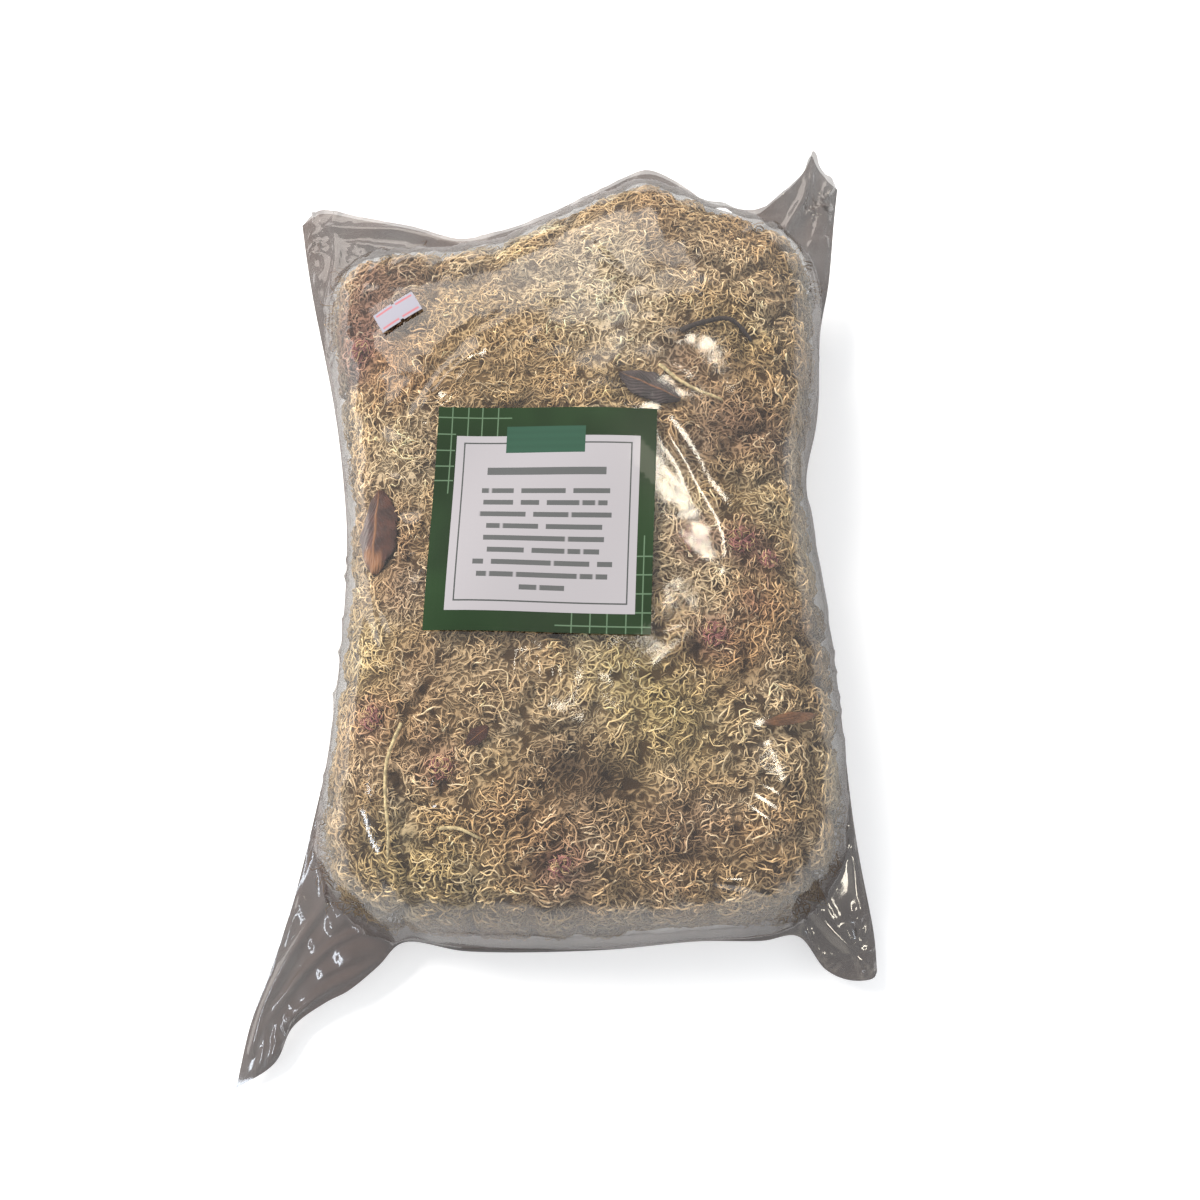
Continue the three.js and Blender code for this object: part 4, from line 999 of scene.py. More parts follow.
class MossBed:
    """How the moss lies: its clumps, hollows, colours and which way its strands run."""

    COLOURS = ("straw", "cream", "green", "orange", "purple", "brown", "pink")
    # The noises of the bed and their spacings in millimetres.
    NOISES = {"drift": 52.0, "turn": 21.0, "pale": 17.0, "rust": 26.0, "cleft": 30.0}
    # The dip between clumps: its depth, how much that varies and its half width. Clefts are deeper
    # and narrower, and only where their noise is high.
    DIP, DIP_CHANGE, DIP_WIDTH = 2.2, 2.0, 6.5
    CLEFT, CLEFT_NOISE, CLEFT_WIDTH = 5.5, (0.1, 0.7), 2.6
    # How much strands run round a clump and out from it, beside the way that the bed drifts.
    AROUND, OUTWARD, DRIFT = 0.9, 0.5, 2.6 * np.pi

    def __init__(self, choice, seed):
        rng = np.random.default_rng(seed)
        self.palette = {name: np.array(getattr(choice, name)[:3]) for name in self.COLOURS}
        self.centres = clump_centres()
        self.spin = rng.choice([-1.0, 1.0], len(self.centres))
        self.ripe = rng.uniform(-1, 1, len(self.centres))
        for k, (name, spacing) in enumerate(self.NOISES.items()):
            setattr(self, name, Rumple(seed + 1 + k, spacing))

    def clumps(self, x, y):
        """The nearest clump, the way out from its middle, and how much further the next one is."""
        away = np.stack([x, y], -1)[..., None, :] - self.centres
        distance = np.linalg.norm(away, axis=-1)
        order = np.argsort(distance, axis=-1)[..., :2]
        nearest = order[..., :1]
        out = np.take_along_axis(away, nearest[..., None], axis=-2)[..., 0, :]
        two = np.take_along_axis(distance, order, axis=-1)
        return nearest[..., 0], out, two[..., 1] - two[..., 0]

    def depth(self, x, y):
        """How far the moss lies under the film: shallow on the clumps, deep between them."""
        _, _, margin = self.clumps(x, y)
        deep = self.DIP + self.DIP_CHANGE * self.turn(x, y)
        deep = deep * np.exp(-((margin / self.DIP_WIDTH) ** 2))
        cleft = self.CLEFT * smooth(*self.CLEFT_NOISE, self.cleft(x, y))
        deep = deep + cleft * np.exp(-((margin / self.CLEFT_WIDTH) ** 2))
        for cx, cy, radius, sink in HOLLOWS:
            deep = deep + sink * np.exp(-spot(x, y, cx, cy, radius))
        for cx, cy, radius, sink in FIND_ROOM:
            deep = np.maximum(deep, sink * np.exp(-(spot(x, y, cx, cy, radius) ** 1.5)))
        return deep

    def heading(self, x, y):
        """The angle at which strands run: a drift over the bed, swirled round each clump."""
        nearest, out, _ = self.clumps(x, y)
        size = np.maximum(np.linalg.norm(out, axis=-1), 1)
        around = self.AROUND * self.spin[nearest]
        angle = self.DRIFT * self.drift(x, y)
        east = np.cos(angle) + (self.OUTWARD * out[..., 0] - around * out[..., 1]) / size
        north = np.sin(angle) + (self.OUTWARD * out[..., 1] + around * out[..., 0]) / size
        return np.arctan2(north, east)

    def blend(self, base, name, share):
        return base + (self.palette[name] - base) * share[..., None]

    def ground(self, x, y):
        """The colour that the moss has at places of the plan."""
        nearest, _, _ = self.clumps(x, y)
        shade = np.tile(self.palette["straw"], np.shape(x) + (1,))
        pale = self.pale(x, y) + 0.5 * self.ripe[nearest]
        rust = self.rust(x, y)
        for name, noise, low, high, most in (
                ("cream", pale, 0.0, 1.1, 0.8), ("brown", -pale, 0.1, 1.2, 0.5),
                ("orange", rust, 0.1, 0.9, 0.35), ("green", -rust, 0.1, 0.9, 0.25)):
            shade = self.blend(shade, name, smooth(low, high, noise) * most)
        for cx, cy, radius, name, strength in PATCHES:
            near = np.exp(-(spot(x, y, cx, cy, radius) ** 1.3))
            shade = self.blend(shade, name, strength * near)
        return shade

    def colour(self, x, y, rng):
        """A colour for each strand, from where its middle lies, a few of them stray ones."""
        shade = self.ground(x, y)
        stray = rng.uniform(0, 1, np.shape(x))
        shade = self.blend(shade, "brown", (stray < 0.07) * 0.6)
        shade = self.blend(shade, "cream", (stray > 0.88) * 0.5)
        return shade * rng.normal(1.0, 0.13, np.shape(x))[..., None].clip(0.6, 1.35)


def lay_strands(bed, side, count, rng):
    """Walks strands over one film from random places: their shares, places and phases."""
    film, room = films()
    net = film[side]
    size = np.linalg.norm(np.cross(net.across, net.lengthways), axis=-1)
    cell = size * np.gradient(COLUMNS)[:, None] * np.gradient(ROWS)
    keep = smooth(*START_ROOM, room)
    if side == "lower":
        rise = smooth(*START_HEIGHTS, net.points[..., 2])
        keep = keep * between(START_UNDER, 1, rise)
    else:
        level = smooth(*START_SLOPES, net.normals[..., 2])
        keep = keep * between(START_WALL, 1, level)
    chance = (cell * keep).ravel()
    start = rng.choice(chance.size, count, p=chance / chance.sum())
    i, j = np.unravel_index(start, room.shape)
    blur_u, blur_v = rng.uniform(-0.5, 0.5, (2, count))
    u = (COLUMNS[i] + blur_u * np.gradient(COLUMNS)[i]).clip(*START_REACH[0])
    v = (ROWS[j] + blur_v * np.gradient(ROWS)[j]).clip(*START_REACH[1])
    room_u = np.gradient(room, COLUMNS, axis=0)
    room_v = np.gradient(room, ROWS, axis=1)
    curly = rng.uniform(0, 1, count)
    stride = STRIDE + STRAIGHTER * (1 - curly)
    curl = CURL + CURLIER * curly
    pace = rng.uniform(*PACE, count)
    phase = rng.uniform(0, 2 * np.pi, count)
    bent = rng.uniform(0, 1, count) < BENT
    bend = np.where(bent, rng.choice([-1, 1], count) * rng.uniform(*BEND, count), 0)
    first = rng.choice([0, np.pi], count) + rng.normal(0, STRAY, count)
    spots = []
    for k in range(STEPS):
        place = net.at(net.points, u, v)
        spots.append((u, v, place))
        heading = bed.heading(place[:, 0], place[:, 1])
        angle = heading + first + curl * np.sin(phase + pace * k) + bend * k
        across, along = net.at(net.across, u, v), net.at(net.lengthways, u, v)
        inward = np.arctan2(net.at(room_v, u, v) / np.linalg.norm(along, axis=-1),
                            net.at(room_u, u, v) / np.linalg.norm(across, axis=-1))
        lost = 1 - smooth(*TURN_ROOM, net.at(room, u, v))
        angle = angle + lost * TURN_BACK * np.sin(inward - angle)
        east = unit(across)
        normal = net.at(net.normals, u, v) * (1 if side == "upper" else -1)
        step = stride[:, None] * towards(angle, east, np.cross(normal, east))
        a, b, c = (across**2).sum(-1), (across * along).sum(-1), (along**2).sum(-1)
        p, q = (step * across).sum(-1), (step * along).sum(-1)
        flat = a * c - b * b
        u = (u + (p * c - q * b) / flat).clip(*WALK_REACH[0])
        v = (v + (q * a - p * b) / flat).clip(*WALK_REACH[1])
    return net, [np.stack(field, 1) for field in zip(*spots)], phase


def moss_strands(choice, side, count, seed):
    """Paths, normals, radii and colours of the strands that show through one film."""
    rng = np.random.default_rng(seed)
    bed = MossBed(choice, BED_SEED)
    _, room = films()
    net, (u, v, places), phase = lay_strands(bed, side, count, rng)
    x, y = places[..., 0], places[..., 1]
    mean, most = LAYERS
    layer = rng.exponential(mean, count).clip(0, most)[:, None]
    share = np.linspace(-1, 1, STEPS)
    height, turns, pace = WEAVE
    weave = height * np.sin(phase[:, None] * turns + pace * np.arange(STEPS))
    ends = rng.uniform(*ENDS, count)[:, None] * np.abs(share) ** 3
    radius = choice.thickness / METRE / 2 * rng.uniform(*GIRTH, count)[:, None]
    depth = radius + CLEAR + layer + weave + ends + bed.depth(x, y)
    depth = np.minimum(depth, DEEPEST[0] + DEEPEST[1] * net.at(room, u, v))
    paths = net.under(u, v, depth)
    radii = radius * (1 - TAPER * np.abs(share) ** 4)
    base = bed.colour(x[:, STEPS // 2], y[:, STEPS // 2], rng)[:, None]
    # Painted shade: deeper strands, and strands on the walls, are darkened.
    depth_shade = np.clip(DEPTH_SHADE["start"] - DEPTH_SHADE["fall"] * (depth - DEPTH_SHADE["from"]), *DEPTH_SHADE["limits"])
    normals = net.at(net.normals, u, v)
    facing = between(WALL_SHADE, 1, smooth(*WALL_SLOPES, np.abs(normals[..., 2])))
    return paths, normals, radii, (base * (depth_shade * facing)[..., None]).clip(0, 1)


def moss_finish():
    """Dry fibre: the colour of each strand with a fine mottle on it."""
    finish = Finish("dry_moss")
    where = finish.coordinates()
    tone = finish.attribute("tone")
    mottle = finish.noise(where, 420.0, 2.0)
    worn = finish.mix(finish.mask(mottle, 0.32, 0.72), (0.72, 0.68, 0.62, 1), (1.08, 1.06, 1.02, 1))
    colour = finish.times(tone, worn)
    grain = finish.bump(mottle, 0.0003, 0.4)
    return finish.coat(
        Base_Color=colour, Roughness=0.82, Specular_IOR_Level=0.25, Normal=grain)


class MOSSBAG_OT_tufts(bpy.types.Operator):
    """Make the tufts of moss: thousands of curled strands, each given to the tuft it lies in"""

    bl_idname = "mossbag.tufts"
    bl_label = "Tufts of moss"

    SHARES = {"upper": 0.8, "lower": 0.2}

    def execute(self, context):
        choice = context.scene.moss_bag_moss
        names = sorted(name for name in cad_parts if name.startswith("tuft_"))
        middles = np.array([sum(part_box(name), Vector()) / 2 for name in names])[:, :2] / METRE
        laid = [moss_strands(choice, side, int(choice.strands * share), 101 + k)
                for k, (side, share) in enumerate(self.SHARES.items())]
        paths, ups, radii, colours = (np.concatenate(field) for field in zip(*laid))
        strands = paths[:, STEPS // 2, None, :2]
        home = np.linalg.norm(strands - middles, axis=-1).argmin(1)
        finish = moss_finish()
        for k, name in enumerate(names):
            own = home == k
            piece = strand_piece("strands_" + name, paths[own], ups[own], radii[own], colours[own])
            settle(piece, finish, [name])
        return {"FINISHED"}


def heart_finish():
    """The lower strands as a shaded copy of the moss: winding lines of two bundles over each other,
    with painted shadow in the gaps between.
    """
    finish = Finish("shaded_moss")
    where = finish.coordinates()
    tone = finish.attribute("tone")
    fibre = 0.0
    for scale, turns in ((70.0, 78.0), (47.0, 120.0)):
        wander = finish.noise(where, 5 * scale, 1.0) * 7.0
        contour = finish.noise(where, scale, 1.0) * turns + wander
        fibre = contour.sine().at_least(fibre)
    # Painted shadow: dark patches in the gaps between the fibres.
    patch = finish.noise(where, 120.0, 2.0)
    gaps = finish.mask(patch, 0.36, 0.47)
    # Painted shade: the moss colour is darkened to a shaded copy of itself.
    stops = [(0.25, (0.19, 0.16, 0.13, 1)), (0.95, (0.66, 0.62, 0.58, 1))]
    shade = finish.ramp(fibre * 0.8 + patch * 0.3, stops)
    shade = finish.mix(gaps, (0.09, 0.07, 0.055, 1), shade)
    relief = finish.bump(fibre * gaps, 0.0012, 0.8)
    colour = finish.times(tone, shade)
    return finish.coat(Base_Color=colour, Roughness=0.95, Specular_IOR_Level=0.1, Normal=relief)


class MOSSBAG_OT_heart(bpy.types.Operator):
    """Make the dense heart of the moss, painted in shade, which shows dark between the strands"""

    bl_idname = "mossbag.heart"
    bl_label = "Heart of the moss"

    # Of the films' nets, every so many corners are used.
    SKIP = 2
    # How deep the heart lies under each film, its least depth, and the most as a share of the room.
    COVER = {"upper": 3.7, "lower": 2.2}
    LEAST_DEPTH = 1.2
    MOST_SHARE = 0.46
    # Its roughness: the height, seed and spacing of each noise.
    ROUGH = ((1.1, 41, 7.0), (0.7, 42, 3.6))
    # The heart thins out to nothing over this room between the films.
    RIM = (9, 20)

    def execute(self, context):
        film, room = films()
        bed = MossBed(context.scene.moss_bag_moss, BED_SEED)
        every = (slice(None, None, self.SKIP), slice(None, None, self.SKIP))
        nets = {}
        for side, cover in self.COVER.items():
            net = film[side]
            x, y = net.points[..., 0], net.points[..., 1]
            rough = sum(height * Rumple(*noise)(x, y) for height, *noise in self.ROUGH)
            sunk = 0.6 * bed.depth(x, y) if side == "upper" else 0.3 * rough
            depth = np.clip(cover + sunk + 0.6 * rough, self.LEAST_DEPTH, self.MOST_SHARE * room)
            nets[side] = (net.points - net.normals * depth[..., None])[every]
        middle = (nets["upper"] + nets["lower"]) / 2
        least = least_near(room, self.SKIP)[every]
        share = smooth(*self.RIM, least)[..., None]
        nets = [between(middle, net, share) for net in nets.values()]
        thin = all_round(least < self.RIM[0]).astype(float)
        piece = pillow("moss_heart", *nets, {"thin": (thin, thin)})
        self.drop_thin_rim(piece)
        places = np.empty(len(piece.data.vertices) * 3, np.float32)
        piece.data.vertices.foreach_get("co", places)
        x, y, _ = places.reshape(-1, 3).T / METRE
        paint(piece, "tone", bed.ground(x, y), colours=True)
        settle(smoothed(piece), heart_finish(), [])
        return {"FINISHED"}

    @staticmethod
    def drop_thin_rim(piece):
        """Takes away the rim, where there is no room for moss between the films."""
        marks = np.empty(len(piece.data.vertices), np.float32)
        piece.data.attributes["thin"].data.foreach_get("value", marks)
        delete_chosen(piece, "VERT", piece.data.vertices, marks > 0.5)


# ---- moss heads

class MOSSBAG_OT_heads(bpy.types.Operator):
    """Make the pink moss heads: rosettes of fine curled leaves round a middle painted dark with
    shade
    """

    bl_idname = "mossbag.heads"
    bl_label = "Moss heads"

    LEAVES = 110
    LEAF_STEPS = 7
    LEAF_RADIUS = 0.42
    # In radii of the head: how deep its middle lies, its reach and its height.
    SUNK, REACH, HEIGHT = 0.72, 1.05, 0.62
    PALE_SHARE = 0.36

    def execute(self, context):
        choice = context.scene.moss_bag_moss
        finish = moss_finish()
        for k, head in enumerate(HEADS):
            name = f"head_{k + 1}"
            strands = self.leaves(choice, *head, np.random.default_rng(300 + k))
            piece = strand_piece("rosette_" + name, *strands)
            settle(piece, finish, [name])
        return {"FINISHED"}

    def leaves(self, choice, x, y, radius, rng):
        """Paths, normals, radii and colours of one head's leaves, which twist as they spread."""
        each = (self.LEAVES, 1)
        middle = under_plan(x, y, radius * self.SUNK)
        up = unit(under_plan(x, y, 0) - middle)
        east = unit(np.cross([0, 1, 0], up))
        turn = rng.uniform(0, 2 * np.pi, each)
        rise = rng.uniform(-0.35, 1.0, each)
        share = np.linspace(0.06, 1, self.LEAF_STEPS)
        twist = turn + 0.9 * np.sin(3 * share + turn * 5) * share
        reach = radius * self.REACH * rng.uniform(0.6, 1.05, each) * share
        height = radius * self.HEIGHT * rise * np.sin(np.pi * (0.15 + 0.55 * share))
        spread_out = reach[..., None] * towards(twist, east, np.cross(up, east))
        paths = middle + spread_out + height[..., None] * up
        ups = unit(np.broadcast_to(up, paths.shape) + 0.001)
        radii = self.LEAF_RADIUS * (1.15 - 0.75 * share) * np.ones(each)
        tint = np.array(choice.pink[:3]) * rng.normal(1, 0.2, each).clip(0.5, 1.5)
        pale = rng.uniform(0, 1, each) < self.PALE_SHARE
        tint = np.where(pale, np.array(choice.straw[:3]), tint)
        # Painted shade at the sunken middle of the head and painted light at the tips of the
        # leaves.
        glow = (0.5 + 0.7 * share)[None, :, None]
        return paths, ups, radii, (tint[:, None] * glow).clip(0, 1)


# ---- leaves


def leaf_finish(name, colour, patch, patch_share):
    """Dry leaf: a darker midrib and side veins, mottled, with a paler dry patch."""
    finish = Finish(name)
    where = finish.coordinates()
    along, side = finish.split(finish.coordinates("UV"))
    off_rib = abs(side - 0.5)
    veins = ((along + off_rib * 0.9) * 58.0).sine()
    rib = 1 - finish.mask(off_rib, 0.012, 0.05)
    mottle = finish.noise(where, 130.0, 5.0, 0.65)
    blotch = finish.noise(where, 46.0, 2.0)
    dry = finish.mask(blotch + along * -0.12, 0.62 - patch_share, 0.72 - patch_share * 0.6)
    base = finish.mottled(mottle, 0.35, 0.7, colour, 0.55, 1.5)
    base = finish.mix(dry * 0.85, base, solid(patch))
    base = finish.mix(rib * 0.55, base, solid(patch, 1.2))
    relief = finish.bump(veins * 0.25 + mottle * 0.5 + rib * 0.7, 0.0008, 0.8)
    return finish.coat(Base_Color=base, Roughness=0.58, Normal=relief)


def leaf_piece(name, start, end, half_width, cup, curl):
    """A cupped, rippled blade under the film, pointed at both ends, with a short tip."""
    length_cuts, cross_cuts = 44, 17
    clear, thickness = 0.9, 0.35
    (ax, ay), (bx, by) = start, end
    shares = np.linspace(0, 1, length_cuts), np.linspace(-1, 1, cross_cuts)
    t, s = np.meshgrid(*shares, indexing="ij")
    outline = np.sin(np.pi * np.clip(t * 0.97 + 0.015, 0, 1)) ** 0.72
    wave = 0.06 * np.sin(13 * t + 2 * s) + 0.04 * np.sin(29 * t)
    width = half_width * outline * (1 + wave * np.abs(s))
    side = np.array([ay - by, bx - ax]) / math.dist(start, end)
    x = ax + (bx - ax) * t + side[0] * s * width
    y = ay + (by - ay) * t + side[1] * s * width
    ripple = 0.4 * cup * np.abs(np.sin(9 * t + 1.5 * s))
    depth = clear + cup * s**2 + curl * (t - 0.5) ** 2 + ripple
    piece = net_piece(name, under_plan(x, y, depth))
    modified(piece, "SOLIDIFY", thickness=thickness * METRE, offset=-1)
    return smoothed(piece)


class MOSSBAG_OT_leaves(bpy.types.Operator):
    """Make the four dead leaves that lie against the film"""

    bl_idname = "mossbag.leaves"
    bl_label = "Dead leaves"

    # node, start, end, half width, cup, curl, colour, patch share
    BLADES = (
        ("brown_leaf", (-91, -13), (-89, 28), 12, 1.8, 3.0, "leaf", 0.16),
        ("dark_leaf", (29, 87), (59, 73), 7.5, 1.5, 2.0, "dark_leaf", -0.06),
        ("orange_leaf", (93, -85), (121, -80), 2.8, 0.8, 1.5, "orange_leaf", 0.1),
        ("small_leaf", (-40, -95), (-30, -87), 3.6, 0.8, 1.0, "leaf", -0.2),
    )

    def execute(self, context):
        choice = context.scene.moss_bag_finds
        for node, start, end, half_width, cup, curl, colour, patch_share in self.BLADES:
            piece = leaf_piece(node + "_blade", start, end, half_width, cup, curl)
            shade = getattr(choice, colour)
            finish = leaf_finish(node + "_skin", shade, choice.leaf_patch, patch_share)
            settle(piece, finish, [node])
        return {"FINISHED"}


# ---- twigs and stalks


def bark_finish(name, colour, scale):
    """Thin bark or dry stalk: fine streaks and nodes along it."""
    finish = Finish(name)
    where = finish.coordinates()
    streak = finish.noise(where, scale, 4.0, 0.6)
    base = finish.mottled(streak, 0.35, 0.68, colour, 0.55, 1.3)
    relief = finish.bump(streak, 0.0005, 0.7)
    return finish.coat(Base_Color=base, Roughness=0.7, Normal=relief)


def stem_piece(name, route, radius, depth):
    """A tapered stem with small knots along a route under the film, closed at both ends."""
    rings, sides = 46, 9
    sink, knot_height, knot_width, knots_along = 1.6, 0.22, 0.09, 5.3
    share = np.linspace(0, 1, rings)
    plan = on_curve(curve_through(route), share)
    spine = under_plan(plan[:, 0], plan[:, 1], radius + depth)
    spine[:, 2] -= sink * np.abs(np.linspace(-1, 1, rings)) ** 6
    tangent = unit(np.gradient(spine, axis=0))
    side = unit(np.cross(tangent, [0.0, 0.0, 1.0]))
    up = np.cross(side, tangent)
    off_knot = (share * knots_along) % 1 - 0.5
    knots = 1 + knot_height * np.exp(-((off_knot / knot_width) ** 2))
    girth = radius * (1.05 - 0.35 * share) * knots
    turn = np.linspace(0, 2 * np.pi, sides, endpoint=False)
    closed = np.r_[turn, turn[:1]]
    spokes = towards(closed[None], side[:, None], up[:, None])
    piece = net_piece(name, spine[:, None] + girth[:, None, None] * spokes)
    in_edit_mode(piece, weld, lambda: bpy.ops.mesh.fill_holes(sides=0),
                 lambda: bpy.ops.mesh.normals_make_consistent(inside=False))
    return smoothed(piece, 60)


class MOSSBAG_OT_stems(bpy.types.Operator):
    """Make the dark twig, the pale stem and the two stalks"""

    bl_idname = "mossbag.stems"
    bl_label = "Twigs and stalks"

    # node, route, radius, colour
    ROUTES = (
        ("dark_twig", [(60, 111), (72, 115), (85, 117), (96, 107)], 1.3, "twig"),
        ("pale_stem", [(49, 92), (57, 84), (68, 77.5), (80, 73.5)], 0.9, "stalk"),
        ("long_stalk", [(-70, -85), (-75.5, -102), (-75.5, -118), (-74, -133), (-75, -147)],
         0.8, "stalk"),
        ("short_stalk", [(-52, -131), (-43, -131), (-33, -135.5)], 0.8, "stalk"),
    )

    def execute(self, context):
        choice = context.scene.moss_bag_finds
        finishes = {name: bark_finish(name + "_bark", getattr(choice, name), 500.0)
                    for name in ("twig", "stalk")}
        for node, route, radius, kind in self.ROUTES:
            piece = stem_piece(node + "_stem", route, radius, 0.7)
            settle(piece, finishes[kind], [node])
        return {"FINISHED"}


# ---- papers on the film


def paper_net(corners, lift, cuts):
    """Places over the film between four corners in plan."""
    a, b, c, d = (np.array(corner, float) for corner in corners)
    s, t = np.meshgrid(np.linspace(0, 1, cuts[0]), np.linspace(0, 1, cuts[1]), indexing="ij")
    s, t = s[..., None], t[..., None]
    plan = between(between(a, b, s), between(d, c, s), t)
    return under_plan(plan[..., 0], plan[..., 1], np.full(plan.shape[:2], -lift))


def within(value, low, high):
    """1 between two limits and 0 outside them."""
    return (value > low) * (value < high)


def label_finish(choice):
    """Glossy green label: a white panel with a frame and ruled lines, a tab, and a pale net."""
    finish = Finish("printed_label")
    across, up = finish.split(finish.coordinates("UV"))
    cloud = finish.noise(finish.coordinates(), 26.0, 2.0)
    colour = finish.mottled(cloud, 0.3, 0.75, choice.green, 0.8, 1.35)
    # Lines of the net: the coordinate that each keeps, its places, and the part of the label.
    half, net = 0.0028, 0.0
    for value, places, part in (
            (up, (0.952,), across < 0.34),
            (up, (0.875, 0.80, 0.727, 0.66), across < 0.085),
            (across, (0.138, 0.203, 0.276), up > 0.868),
            (across, (0.065,), up > 0.6),
            (up, (0.33, 0.251, 0.17, 0.09), across > 0.928),
            (across, (0.648, 0.73, 0.805, 0.889), up < 0.084),
            (across, (0.96,), up < 0.42),
            (up, (0.03,), across > 0.575)):
        for place in places:
            net = within(value, place - half, place + half) * part + net
    outer = within(across, 0.125, 0.893) * within(up, 0.123, 0.838)
    inner = within(across, 0.1315, 0.8865) * within(up, 0.1295, 0.8315)
    panel = within(across, 0.09, 0.928) * within(up, 0.084, 0.868)
    tab = within(across, 0.32, 0.68) * within(up, 0.79, 0.912)
    bands = (up * 190.0).sine() * 0.12 + 0.88
    for share, shade in (
            (net.at_most(1.0) * 0.75, solid(choice.net)),
            (panel, solid(choice.panel)),
            ((outer - inner) * 0.95, solid(choice.ink)),
            (ruled_lines(finish, across, up), solid(choice.ink)),
            (tab, finish.mix(bands, solid(choice.tab, 0.7), solid(choice.tab)))):
        colour = finish.mix(share, colour, shade)
    return finish.coat(
        Base_Color=colour, Roughness=0.34, Specular_IOR_Level=0.25, Coat_Weight=0.1)


def ruled_lines(finish, across, up):
    """A ruled heading bar and nine ruled lines, broken here and there, centred on the panel."""
    rules = within(up, 0.688, 0.722) * within(across, 0.24, 0.78)
    first, apart, half, middle = 0.615, 0.0535, 0.011, 0.51
    for k, width in enumerate((0.29, 0.28, 0.30, 0.26, 0.27, 0.25, 0.31, 0.29, 0.10)):
        place = first - apart * k
        row = finish.node("ShaderNodeCombineXYZ", None, {0: across, 1: float(k)})
        breaks = finish.mask(finish.noise(row, 17.0, 0.0), 0.36, 0.40)
        line = within(up, place - half, place + half)
        rules = rules + line * within(across, middle - width, middle + width) * breaks
    return rules * 0.85


def sticker_finish(choice):
    """White price paper, bare, with a broken red line along both long edges."""
    finish = Finish("price_paper")
    across, up = finish.split(finish.coordinates("UV"))
    gap = within(across, 0.46, 0.54)
    edges = within(up, 0.80, 0.90) + within(up, 0.10, 0.20)
    stripe = edges * within(across, 0.05, 0.95) * (1 - gap)
    colour = finish.mix(stripe * 0.8, solid(choice.sticker), solid(choice.sticker_edge))
    return finish.coat(Base_Color=colour, Roughness=0.55)


class MOSSBAG_OT_papers(bpy.types.Operator):
    """Make the square label and the notched price sticker, both laid on the film"""

    bl_idname = "mossbag.papers"
    bl_label = "Label and price sticker"

    # How far the papers stand off the film's form, in millimetres.
    LIFT = 1.5

    def execute(self, context):
        choice = context.scene.moss_bag_papers
        label = net_piece("square_label", paper_net(LABEL_CORNERS, self.LIFT, (41, 41)))
        modified(label, "SOLIDIFY", thickness=0.3 * METRE, offset=1)
        settle(label, label_finish(choice), ["label"])
        sticker = net_piece("notched_sticker", paper_net(STICKER_CORNERS, self.LIFT, (27, 15)))
        self.cut_notches(sticker)
        modified(sticker, "SOLIDIFY", thickness=0.25 * METRE, offset=1)
        settle(sticker, sticker_finish(choice), ["price_sticker"])
        return {"FINISHED"}

    @staticmethod
    def cut_notches(sticker):
        """Takes the faces out of the middle of both long edges."""
        layer = sticker.data.uv_layers.active.data
        chosen = []
        for face in sticker.data.polygons:
            across, up = np.mean([layer[k].uv for k in face.loop_indices], axis=0)
            chosen.append(abs(across - 0.5) < 0.045 and abs(up - 0.5) > 0.4)
        delete_chosen(sticker, "FACE", sticker.data.polygons, chosen)


# ---- floor, light and view


def area_light(name, place, target, size, power, colour, mirrored):
    """A rectangular lamp that looks at a target and shows in gloss alone, or in all but gloss."""
    away = Vector(target) - Vector(place)
    turn = away.to_track_quat("-Z", "Y").to_euler()
    bpy.ops.object.light_add(type="AREA", location=place, rotation=turn)
    lamp = lone(name)
    lamp.data.shape = "RECTANGLE"
    lamp.data.size, lamp.data.size_y = size
    lamp.data.energy = power
    lamp.visible_glossy = mirrored
    lamp.visible_diffuse = not mirrored
    lamp.data.color = colour


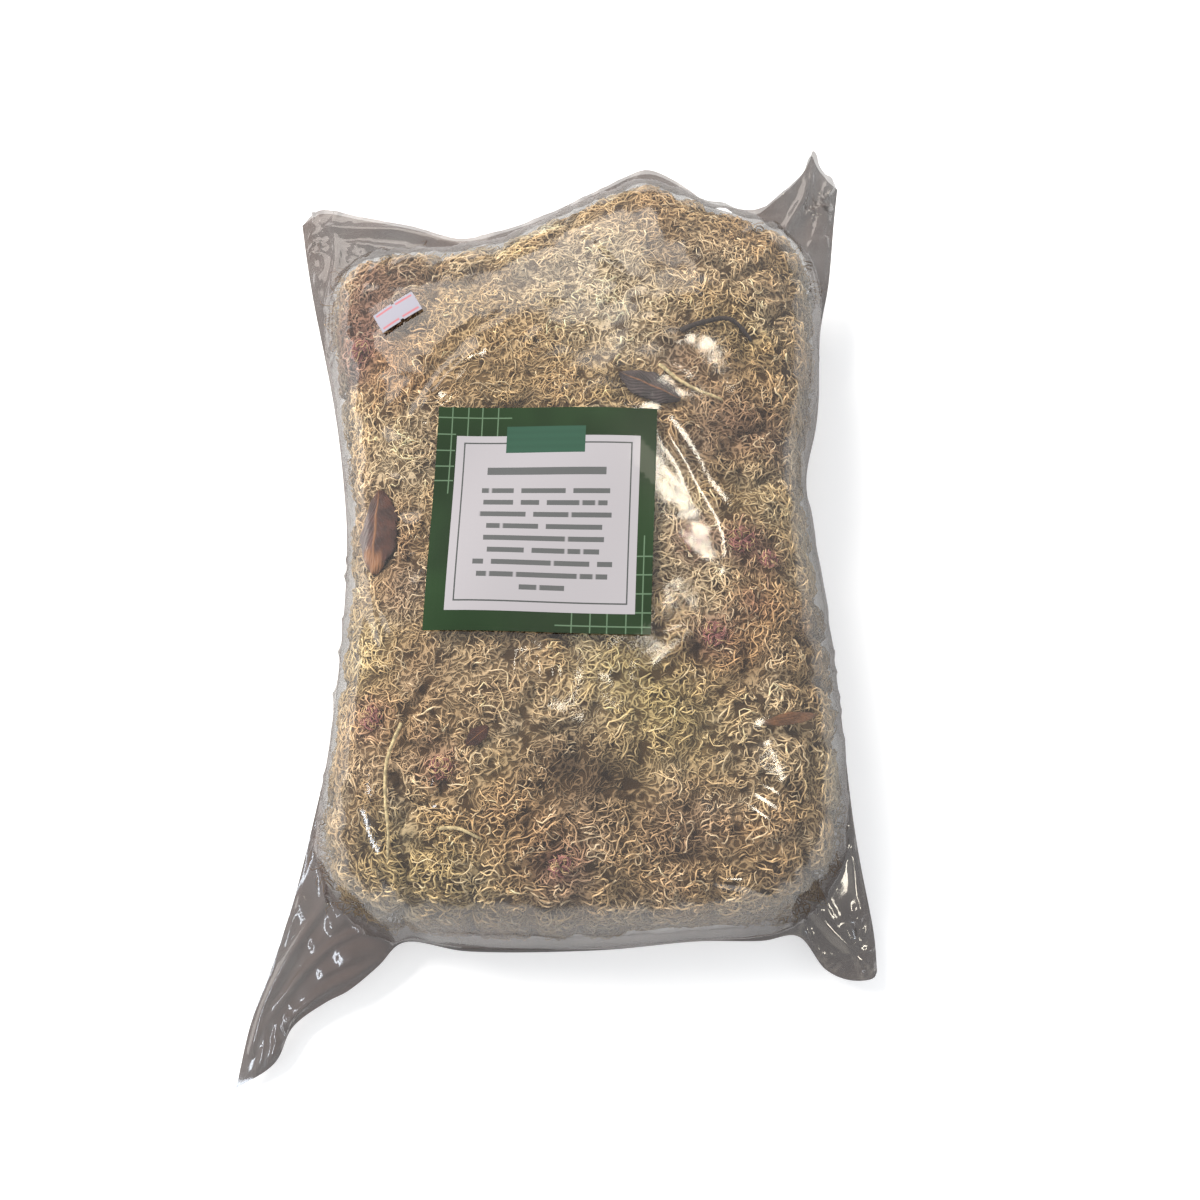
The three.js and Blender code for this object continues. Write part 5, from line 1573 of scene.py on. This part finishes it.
class MOSSBAG_OT_stage(bpy.types.Operator):
    """Make the floor, the soft studio light and the camera"""

    bl_idname = "mossbag.stage"
    bl_label = "Floor, light and camera"

    CAMERA_PLACE = (0.0195, -0.1258, 0.4831)
    CAMERA_TILT = math.radians(14)
    # What shows in the film: name, place, size, brightness and colour.
    MIRRORED = (
        ("lamp_far", (0.28, 0.48, 1.15), (0.30, 0.12), "lamp", (1, 0.92, 0.77)),
        ("lamp_middle", (0.01, 0.13, 1.15), (0.05, 0.06), "lamp", (1, 0.92, 0.77)),
        ("lamp_near", (0.64, -0.42, 1.15), (0.3, 0.18), "lamp", (1, 0.92, 0.77)),
        ("window", (-0.5, 1.3, 1.15), (1.7, 1.0), "window", (1, 0.93, 0.86)),
        ("strip", (-1.0, -0.7, 0.9), (0.9, 0.12), "strip", (0.82, 0.9, 1)),
    )

    def execute(self, context):
        choice = context.scene.moss_bag_stage
        deselect()
        bpy.ops.mesh.primitive_plane_add(size=8)
        floor = lone("floor")
        finish = Finish("pale_floor")
        white = finish.principled(Base_Color=solid(choice.floor), Roughness=0.9,
                                  Emission_Color=(1, 1, 1, 1), Emission_Strength=choice.floor_glow)
        floor.data.materials.append(finish.show(white))
        world = bpy.data.worlds.new("even_light")
        world.use_nodes = True
        background = world.node_tree.nodes["Background"]
        for socket, value in (("Color", (0.95, 0.97, 1.0, 1)), ("Strength", choice.sky)):
            background.inputs[socket].default_value = value
        context.scene.world = world
        area_light("soft_light", (-1.7, 1.5, 1.9), (0, 0, 0), (1.4, 1.4), choice.soft_light,
                   (1, 0.97, 0.93), False)
        for name, place, size, glow, colour in self.MIRRORED:
            power = getattr(choice, glow) * math.pi * size[0] * size[1]
            area_light(name, place, (0, 0, 0.06), size, power, colour, True)
        bpy.ops.object.camera_add(location=self.CAMERA_PLACE, rotation=(self.CAMERA_TILT, 0, 0))
        camera = lone("view")
        camera.data.lens = choice.lens
        camera.data.sensor_width = 36
        context.scene.camera = camera
        context.scene.view_settings.view_transform = "Standard"
        return {"FINISHED"}


# ---- panel and registration

OPERATORS = (
    MOSSBAG_OT_stage,
    MOSSBAG_OT_film,
    MOSSBAG_OT_heart,
    MOSSBAG_OT_tufts,
    MOSSBAG_OT_heads,
    MOSSBAG_OT_leaves,
    MOSSBAG_OT_stems,
    MOSSBAG_OT_papers,
)
CHOICES = {
    "moss_bag_film": MossBagFilm,
    "moss_bag_moss": MossBagMoss,
    "moss_bag_finds": MossBagFinds,
    "moss_bag_papers": MossBagPapers,
    "moss_bag_stage": MossBagStage,
}


class MOSSBAG_PT_panel(bpy.types.Panel):
    """Sidebar panel with every piece of the bag"""

    bl_label = "Moss bag"
    bl_idname = "MOSSBAG_PT_panel"
    bl_space_type = "VIEW_3D"
    bl_region_type = "UI"
    bl_category = "Moss bag"

    def draw(self, context):
        for operator in OPERATORS:
            self.layout.operator(operator.bl_idname)
        for name, group in CHOICES.items():
            box = self.layout.box()
            box.label(text=group.__doc__)
            for key in group.__annotations__:
                box.prop(getattr(context.scene, name), key)


def register():
    for group in (*CHOICES.values(), *OPERATORS, MOSSBAG_PT_panel):
        bpy.utils.register_class(group)
    for name, group in CHOICES.items():
        setattr(bpy.types.Scene, name, bpy.props.PointerProperty(type=group))


def unregister():
    for name in CHOICES:
        delattr(bpy.types.Scene, name)
    for group in reversed((*CHOICES.values(), *OPERATORS, MOSSBAG_PT_panel)):
        bpy.utils.unregister_class(group)


def main():
    register()
    for operator in OPERATORS:
        group, action = operator.bl_idname.split(".")
        getattr(getattr(bpy.ops, group), action)()


if __name__ == "__main__":
    main()
